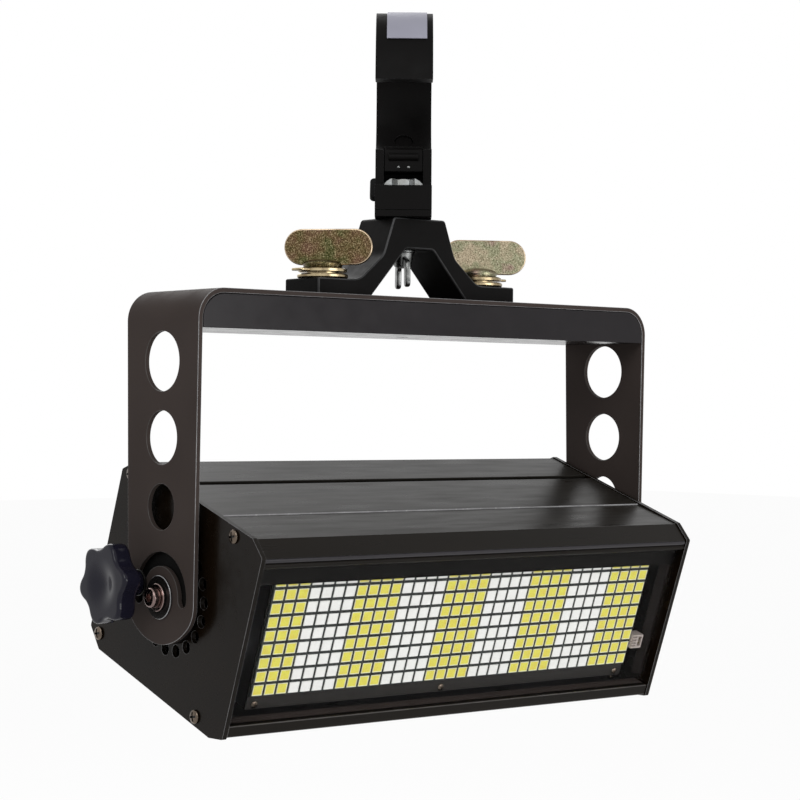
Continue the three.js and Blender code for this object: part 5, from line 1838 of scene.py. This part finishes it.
@dataclass(frozen=True)
class LampWindow:
    """The glass, the side cheeks and the LED board with its packages, connector and screws."""

    panel_half: float = 0.1415
    board_half: float = 0.127
    board_front: float = -0.052
    board_rear: float = -0.0504
    board_bottom: float = -0.0376
    board_top: float = 0.038
    columns: int = 35
    rows: int = 9
    group_first: int = 3
    group: int = 4
    margin: float = 0.001
    width_share: float = 0.8
    pitch_z: float = 0.00706
    height_share: float = 0.77
    face: float = -0.0535
    row_low: float = -0.02697
    connector_low: float = -0.0208
    connector_size: Place = (0.0076, 0.006, 0.0078)
    screw_places: tuple[float, ...] = (-0.0037, 0.1222, -0.1222)
    screw_level: float = -0.0352
    screw_radius: float = 0.0021

    @property
    def pitch_x(self) -> float:
        """The distance between two columns."""
        return 2 * (self.board_half - self.margin) / (self.columns - 1 + self.width_share)

    def is_yellow(self, column: int) -> bool:
        """True where a column holds yellow packages: three, then four white, four yellow and so on."""
        if column < self.group_first:
            return True
        return (column - self.group_first) // self.group % 2 == 1

    def build_glass(self) -> None:
        """The pane with polished edges."""
        low = (-self.panel_half, GLASS_FRONT, WINDOW_BOTTOM + GAP)
        high = (self.panel_half, GLASS_REAR, WINDOW_TOP - GAP)
        on_head("clear_pane", softened(block(low, high), 0.0004, 2), GLASS, "window_glass")

    def package(self, x: float, z: float, yellow: bool) -> Form:
        """One LED package: a rim round a slightly sunken lens.

        Args:
            x: Its place across the board.
            z: Its height.
            yellow: True where its lens is yellow.

        Returns:
            The package, its faces marked with material indexes.
        """
        half_x = self.pitch_x * self.width_share / 2
        half_z = self.pitch_z * self.height_share / 2
        form = block((x - half_x, self.face, z - half_z), (x + half_x, self.board_front + 0.0002, z + half_z))
        front = min(form.faces, key=lambda side: side.calc_center_median().y)
        rim = 2 if yellow else 4
        for side in form.faces:
            side.material_index = rim
        bmesh.ops.inset_region(form, faces=[front], thickness=0.0004, depth=0.0)
        bmesh.ops.inset_region(form, faces=[front], thickness=0.00015, depth=-0.00015)
        front.material_index = rim + 1
        return form

    def build_board(self) -> None:
        """The board with its field of packages in yellow and white groups."""
        low_corner = (-self.board_half, self.board_front, self.board_bottom)
        board = softened(block(low_corner, (self.board_half, self.board_rear, self.board_top)), 0.0002, 1)
        left = -(self.columns - 1) * self.pitch_x / 2
        half_x = -left + self.pitch_x / 2
        low = self.row_low - self.pitch_z / 2
        high = low + self.rows * self.pitch_z
        field = block((-half_x, self.face + 0.0004, low), (half_x, self.board_front + 0.0004, high))
        for side in field.faces:
            side.material_index = 1
        forms = [board, field]
        for column in range(self.columns):
            yellow = self.is_yellow(column)
            for row in range(self.rows):
                x, z = left + column * self.pitch_x, self.row_low + row * self.pitch_z
                forms.append(self.package(x, z, yellow))
        finishes = [BOARD, GRID, YELLOW_RIM, YELLOW_LENS, WHITE_RIM, WHITE_LENS]
        make_piece("led_field", merged(*forms), finishes, "head", ["led_board"], HEAD, 30.0)

    def build_connector(self) -> None:
        """The ribbed two-pin connector at the board's end."""
        low = Vector((self.board_half + GAP, self.board_front - 0.003, self.connector_low))
        high = low + Vector(self.connector_size)
        mouth = (low.x + 0.0044, low.y - 0.005, low.z + 0.0012)
        cuts = [block(mouth, (high.x - 0.0008, low.y + 0.003, high.z - 0.0012))]
        for number in range(4):
            z = low.z + 0.0009 + number * 0.0017
            far = (low.x + 0.0032, low.y + 0.0014, z + 0.0009)
            cuts.append(block((low.x - 0.001, low.y - 0.005, z), far))
        shell = softened(carved(block(tuple(low), tuple(high)), merged(*cuts)), 0.00012, 1)
        on_head("connector_shell", shell, WHITE_PLASTIC, "led_connector")
        middle = (low.z + high.z) / 2
        pins = []
        for drop in (-0.0017, 0.0009):
            foot = (low.x + 0.0056, low.y + 0.0008, middle + drop)
            pins.append(block(foot, (high.x - 0.0012, low.y + 0.0034, middle + drop + 0.0008)))
        on_head("connector_pins", softened(merged(*pins), 0.0001, 1), ZINC)

    def build_screws(self) -> None:
        """The board's three small screws."""
        screws = []
        for x in self.screw_places:
            head = carved(cap(self.screw_radius, 0.0009, 0.0004), cross(0.0013, 0.00025, 0.0003, 0.002))
            screws.append(moved(head, forwards(x, self.board_front, self.screw_level)))
        on_head("board_screws", merged(*screws), BRONZE)

    def build(self) -> None:
        """Builds the window's pieces and dresses its cheeks."""
        self.build_glass()
        self.build_board()
        self.build_connector()
        self.build_screws()
        for side in Side:
            dress_node(side.name("window_cheek"), CHEEK_PAINT)


@dataclass(frozen=True)
class SocketKind:
    """A kind of round panel socket: its radii and depth, and its ring of contacts."""

    barrel: float
    flange: float
    depth: float
    bore: float
    contact_ring: float
    contact_radius: float
    contacts: int
    contact_finish: Finish


@dataclass(frozen=True)
class Socket:
    """One socket: its node's name, its place across the panel, its kind and its finish."""

    name: str
    place: float
    kind: SocketKind
    finish: Finish


POWER = SocketKind(0.013, 0.016, 0.022, 0.0095, 0.005, 0.0012, 3, STEEL)
DATA = SocketKind(0.01, 0.013, 0.018, 0.0075, 0.0038, 0.0007, 5, ZINC)
SOCKETS = (
    Socket("power_inlet", 0.05993, POWER, BLUE),
    Socket("power_outlet", 0.09992, POWER, GREY),
    Socket("data_inlet", -0.02007, DATA, SOCKET_BLACK),
    Socket("data_outlet", 0.01199, DATA, SOCKET_BLACK),
)


@dataclass(frozen=True)
class RearPanel:
    """The rear cover with its sockets, display, buttons and safety eyelet, and the works inside."""

    housing: Housing
    socket_level: float = -0.022
    flange_thickness: float = 0.002
    floor: float = 0.003
    contact_length: float = 0.003
    fixing_across: float = 0.1325
    fixing_up: float = 0.0345
    fixing_radius: float = 0.0026
    bezel_place: float = -0.00404
    bezel_level: float = 0.018
    bezel_half: Point = (0.031, 0.015)
    bezel_thickness: float = 0.0024
    screen_half: Point = (0.015, 0.007)
    screen_rise: float = 0.004
    screen_play: float = 0.0002
    button_radius: float = 0.0032
    button_round: float = 0.0011
    button_pitch: float = 0.0124
    button_drop: float = 0.009
    button_proud: float = 0.0016
    button_tail: float = 0.004
    eyelet_place: float = 0.05993
    eyelet_level: float = 0.022
    eyelet_radius: float = 0.013
    eyelet_bore: float = 0.0075
    eyelet_shift: float = 0.00125
    eyelet_thickness: float = 0.004
    foot_half: Point = (0.01, 0.008)
    foot_thickness: float = 0.0025
    foot_screws: Point = (0.007, 0.0055)

    @property
    def wall(self) -> float:
        """The outer face of the rear wall."""
        return self.housing.rear - self.housing.inset

    @property
    def seat(self) -> float:
        """Where the fittings start, just clear of the rear wall."""
        return self.wall + GAP

    @property
    def button_places(self) -> list[float]:
        """Where the four buttons stand across the panel."""
        return [self.bezel_place + share * self.button_pitch for share in (-1.5, -0.5, 0.5, 1.5)]

    def build_cover(self) -> None:
        """The folded rear cover with holes for the sockets and buttons."""
        housing = self.housing
        lines = []
        for corners in (housing.corners(housing.inset), housing.corners(housing.inset + housing.sheet)):
            bends = [corners[word] for word in ("top_rear", "rear_top", "rear_low", "low_rear")]
            lines.append([(housing.groove_rear, bends[0][1]), *bends, (housing.lap, bends[-1][1])])
        outer, inner = lines
        cover = plate(Axis.X, -housing.panel_half, housing.panel_half, [*outer, *reversed(inner)])
        level = self.bezel_level - self.button_drop
        holes = [ring((socket.place, self.socket_level), socket.kind.barrel + GAP, 48) for socket in SOCKETS]
        holes += [ring((x, level), self.button_radius + GAP, 24) for x in self.button_places]
        drills = [plate(Axis.Y, self.wall - 0.008, self.wall + 0.008, hole) for hole in holes]
        cover = softened(carved(cover, merged(*drills)), 0.00035, 2)
        on_head("rear_sheet", cover, TOP_PAINT, "rear_cover")

    def socket_body(self, kind: SocketKind) -> Form:
        """A round panel socket about Z: flange outside, barrel inside, a hollow with a floor.

        Args:
            kind: The kind of socket.

        Returns:
            The socket's form.
        """
        barrel, flange, bore, seat = kind.barrel, kind.flange, kind.bore, self.seat
        face = seat + self.flange_thickness
        tail = face - kind.depth
        soft = 0.0005
        return turned([
            (0.0, tail), (barrel - soft, tail), (barrel, tail + soft), (barrel, seat),
            (flange - soft, seat), (flange, seat + soft), (flange, face - soft), (flange - soft, face),
            (bore + soft, face), (bore, face - soft), (bore, tail + self.floor), (0.0, tail + self.floor),
        ], 56)

    def contacts(self, socket: Socket) -> Form:
        """Round contacts standing in a ring on a socket's floor.

        Args:
            socket: The socket that holds them.

        Returns:
            The contacts as one form.
        """
        kind = socket.kind
        size, radius = kind.contact_radius, kind.contact_ring
        base = self.seat + self.flange_thickness - kind.depth + self.floor - 0.0002
        end = base + self.contact_length
        parts = []
        for number in range(kind.contacts):
            turn = math.radians(90.0 + 360.0 * number / kind.contacts)
            profile = [(0.0, base), (size, base), (size, end - size / 2), (size * 0.6, end), (0.0, end)]
            x, z = socket.place + radius * math.cos(turn), self.socket_level + radius * math.sin(turn)
            parts.append(moved(turned(profile, 14), backwards(x, z)))
        return merged(*parts)

    def build_sockets(self) -> None:
        """The mains and data sockets with their contacts."""
        for socket in SOCKETS:
            shell = moved(self.socket_body(socket.kind), backwards(socket.place, self.socket_level))
            on_head(f"{socket.name}_shell", shell, socket.finish, socket.name)
            on_head(f"{socket.name}_contacts", self.contacts(socket), socket.kind.contact_finish)

    def build_fixings(self) -> None:
        """The small screws that hold the cover's corners and the sockets' flanges."""
        across, up = self.fixing_across, self.fixing_up
        places = [(x, z, self.wall, self.fixing_radius) for x in (-across, across) for z in (-up, up)]
        face = self.seat + self.flange_thickness
        for socket in SOCKETS:
            reach = (socket.kind.flange + socket.kind.bore) / 2 / math.sqrt(2)
            size = (socket.kind.flange - socket.kind.bore) * 0.2
            for way in (-reach, reach):
                places.append((socket.place + way, self.socket_level + way, face, size))
        heads = []
        for x, z, base, size in places:
            rise = size * 0.5
            head = carved(cap(size, rise, 0.0003), cross(size * 0.62, size * 0.14, rise * 0.4, rise * 2))
            heads.append(moved(head, shift(y=base) @ backwards(x, z)))
        on_head("rear_fixings", merged(*heads), BRONZE)

    def build_display(self) -> None:
        """The display frame with its sunken screen."""
        start, place, level = self.seat, self.bezel_place, self.bezel_level
        face = start + self.bezel_thickness
        floor = start + self.bezel_thickness / 2
        half_x, half_z = self.bezel_half
        corners = rectangle((place - half_x, level - half_z), (place + half_x, level + half_z))
        row = level - self.button_drop
        holes = [ring((x, row), self.button_radius + GAP, 28) for x in self.button_places]
        bezel = plate(Axis.Y, start, face, rounded(corners, [0.002] * 4), holes)
        wide, tall = self.screen_half
        middle = level + self.screen_rise
        sink = block((place - wide, floor, middle - tall), (place + wide, face + 0.005, middle + tall))
        on_head("display_frame", softened(carved(bezel, sink), 0.0003, 2), GLOSS, "display_bezel")
        wide, tall = wide - self.screen_play, tall - self.screen_play
        screen = block((place - wide, floor, middle - tall), (place + wide, floor + 0.0004, middle + tall))
        on_head("display_screen", softened(screen, 0.0001, 1), DISPLAY)

    def build_buttons(self) -> None:
        """The four buttons under the screen."""
        face = self.seat + self.bezel_thickness
        end = face - self.bezel_thickness - self.button_tail
        top = face + self.button_proud
        radius, soft = self.button_radius, self.button_round
        dome = arc((radius - soft, top - soft), soft, 0.0, 90.0, 6)
        profile = [(0.0, end), (radius, end), *dome, (radius * 0.5, top - 0.0001), (0.0, top - 0.0003)]
        for number, x in enumerate(self.button_places, 1):
            turn = HEAD @ backwards(x, self.bezel_level - self.button_drop)
            body, nodes = f"button_{number}", [f"menu_button_{number}"]
            make_piece(f"button_cap_{number}", turned(profile, 32), RUBBER, body, nodes, turn)

    def build_eyelet(self) -> None:
        """The safety eyelet: a round eye on a foot plate with two screws."""
        start, place, level = self.seat, self.eyelet_place, self.eyelet_level
        half_x, half_z = self.foot_half
        face = start + self.foot_thickness
        corners = rectangle((place - half_x, level - half_z), (place + half_x, level + half_z))
        foot = softened(plate(Axis.Y, start, face, rounded(corners, [0.002] * 4)), 0.0004, 2)
        centre = start + self.eyelet_radius
        half = self.eyelet_thickness / 2
        rim = ring((place, centre), self.eyelet_radius, 56)
        bore = ring((place, centre + self.eyelet_shift), self.eyelet_bore, 48)
        eye = plate(Axis.Z, level - half, level + half, rim, [bore])
        eye = softened(eye, 0.0011, 4)
        screws = []
        across, up = self.foot_screws
        for way in (-1, 1):
            head = turned([(0.0, 0.0), (0.0017, 0.0), (0.0017, 0.0004), (0.001, 0.0008), (0.0, 0.0008)], 24)
            screws.append(moved(head, shift(y=face) @ backwards(place + way * across, level + way * up)))
        on_head("eyelet_loop", merged(foot, eye, *screws), STEEL, "safety_eyelet")

    def build(self) -> None:
        """Builds the rear panel and dresses what stays inside."""
        self.build_cover()
        self.build_sockets()
        self.build_fixings()
        self.build_display()
        self.build_buttons()
        self.build_eyelet()
        inside = {"heat_sink": ALUMINIUM, "power_supply": SUPPLY, "fan_frame": GLOSS, "fan_rotor": GLOSS}
        for node, finish in inside.items():
            dress_node(node, finish)


@dataclass(frozen=True)
class Lamp:
    """One soft square lamp: its name, its place, the length of its side and its power in watts."""

    name: str
    place: Place
    size: float
    power: float


LAMPS = (
    Lamp("key_lamp", (-1.6, -1.2, 1.1), 1.4, 22.0),
    Lamp("front_lamp", (0.5, -2.2, -0.45), 1.5, 29.0),
    Lamp("rear_lamp", (0.6, 1.9, 1.2), 1.4, 16.0),
)


@dataclass(frozen=True)
class Studio:
    """A pale floor, soft lamps, a white surround and the camera."""

    camera_place: Place = (-0.771, -0.9211, -0.1639)
    heading: float = 39.89
    rise: float = 0.32
    roll: float = 0.46
    lens: float = 102.43
    sensor: float = 36.0
    floor_level: float = -0.75
    floor_half: float = 12.0
    floor_glow: float = 0.94
    fill: float = 0.55
    aim: Place = (0.0, 0.0, -0.18)

    def build_camera(self) -> None:
        """The camera at the photograph's place and angle."""
        heading, rise, roll = (math.radians(angle) for angle in (self.heading, self.rise, self.roll))
        level = math.cos(rise)
        forward = Vector((math.sin(heading) * level, math.cos(heading) * level, math.sin(rise)))
        right = Vector((math.cos(heading), -math.sin(heading), 0.0))
        up = right.cross(forward)
        across = right * math.cos(roll) + up * math.sin(roll)
        above = up * math.cos(roll) - right * math.sin(roll)
        data = bpy.data.cameras.new("camera")
        data.lens = self.lens
        data.sensor_width = self.sensor
        data.clip_start = 0.01
        data.clip_end = 100.0
        camera = bpy.data.objects.new("camera", data)
        turn = Matrix((across, above, -forward)).transposed().to_4x4()
        camera.matrix_world = Matrix.Translation(self.camera_place) @ turn
        bpy.context.scene.collection.objects.link(camera)
        bpy.context.scene.camera = camera

    def build_lamp(self, lamp: Lamp) -> None:
        """Stands a lamp in its place, aimed at the light's middle.

        Args:
            lamp: The lamp.
        """
        data = bpy.data.lights.new(lamp.name, "AREA")
        data.shape = "SQUARE"
        data.size = lamp.size
        data.energy = lamp.power
        stand = bpy.data.objects.new(lamp.name, data)
        direction = Vector(self.aim) - Vector(lamp.place)
        turn = direction.to_track_quat("-Z", "Y").to_matrix().to_4x4()
        stand.matrix_world = Matrix.Translation(lamp.place) @ turn
        bpy.context.scene.collection.objects.link(stand)

    def background_rays(self, tree: bpy.types.NodeTree) -> bpy.types.NodeSocket:
        """1 for the rays that see the background: camera, glossy and transmission rays.

        Args:
            tree: The node tree to add to.

        Returns:
            The value.
        """
        path = tree.nodes.new("ShaderNodeLightPath")
        total = path.outputs["Is Camera Ray"]
        for name in ("Is Glossy Ray", "Is Transmission Ray"):
            larger = tree.nodes.new("ShaderNodeMath")
            larger.operation = "MAXIMUM"
            tree.links.new(total, larger.inputs[0])
            tree.links.new(path.outputs[name], larger.inputs[1])
            total = larger.outputs[0]
        return total

    def build_world(self) -> None:
        """A white surround for those rays, and a softer fill for the rest."""
        world = bpy.data.worlds.new("surround")
        world.use_nodes = True
        tree = world.node_tree
        background = next(node for node in tree.nodes if node.type == "BACKGROUND")
        background.inputs["Color"].default_value = (1.0, 1.0, 1.0, 1.0)
        level = tree.nodes.new("ShaderNodeMapRange")
        level.inputs["To Min"].default_value = self.fill
        level.inputs["To Max"].default_value = 1.0
        tree.links.new(self.background_rays(tree), level.inputs["Value"])
        tree.links.new(level.outputs[0], background.inputs["Strength"])
        bpy.context.scene.world = world

    def build_floor(self) -> None:
        """The pale floor, white to the camera apart from the light's shadow."""
        form = bmesh.new()
        bmesh.ops.create_grid(form, x_segments=4, y_segments=4, size=self.floor_half)
        bmesh.ops.translate(form, verts=form.verts, vec=(0.0, 0.0, self.floor_level))
        mesh = bpy.data.meshes.new("floor")
        form.to_mesh(mesh)
        form.free()
        recipe = Recipe("floor_white")
        recipe.fix(Roughness=0.9, Specular_IOR_Level=0.0)
        stops = [(0.3, (0.86, 0.86, 0.86)), (0.7, (0.9, 0.9, 0.9))]
        recipe.feed("Base Color", recipe.ramp(recipe.noise(1.0), stops))
        glow = recipe.add("ShaderNodeEmission")
        mix = recipe.add("ShaderNodeMixShader")
        share = recipe.add("ShaderNodeMath")
        share.operation = "MULTIPLY"
        share.inputs[1].default_value = self.floor_glow
        tree = recipe.tree
        tree.links.new(self.background_rays(tree), share.inputs[0])
        for number, node in enumerate((share, recipe.shader, glow)):
            tree.links.new(node.outputs[0], mix.inputs[number])
        tree.links.new(mix.outputs[0], recipe.output.inputs[0])
        mesh.materials.append(recipe.material)
        floor = bpy.data.objects.new("floor", mesh)
        bpy.context.scene.collection.objects.link(floor)

    def build(self) -> None:
        """Builds the studio."""
        self.build_camera()
        self.build_world()
        self.build_floor()
        for lamp in LAMPS:
            self.build_lamp(lamp)
        bpy.context.scene.view_settings.view_transform = "Standard"


def main() -> None:
    """Builds and dresses the light and its studio."""
    logging.basicConfig(level=logging.INFO, format="%(message)s")
    Studio().build()
    HookClamp().build()
    OmegaBracket().build()
    QuarterTurnFastener(Side.LEFT, -50.0, LEFT_WING).build()
    QuarterTurnFastener(Side.RIGHT, -30.0, RIGHT_WING).build()
    Yoke().build()
    for side in Side:
        TiltLock(side).build()
    housing = Housing()
    housing.build()
    LampWindow().build()
    RearPanel(housing).build()


if __name__ == "__main__":
    main()
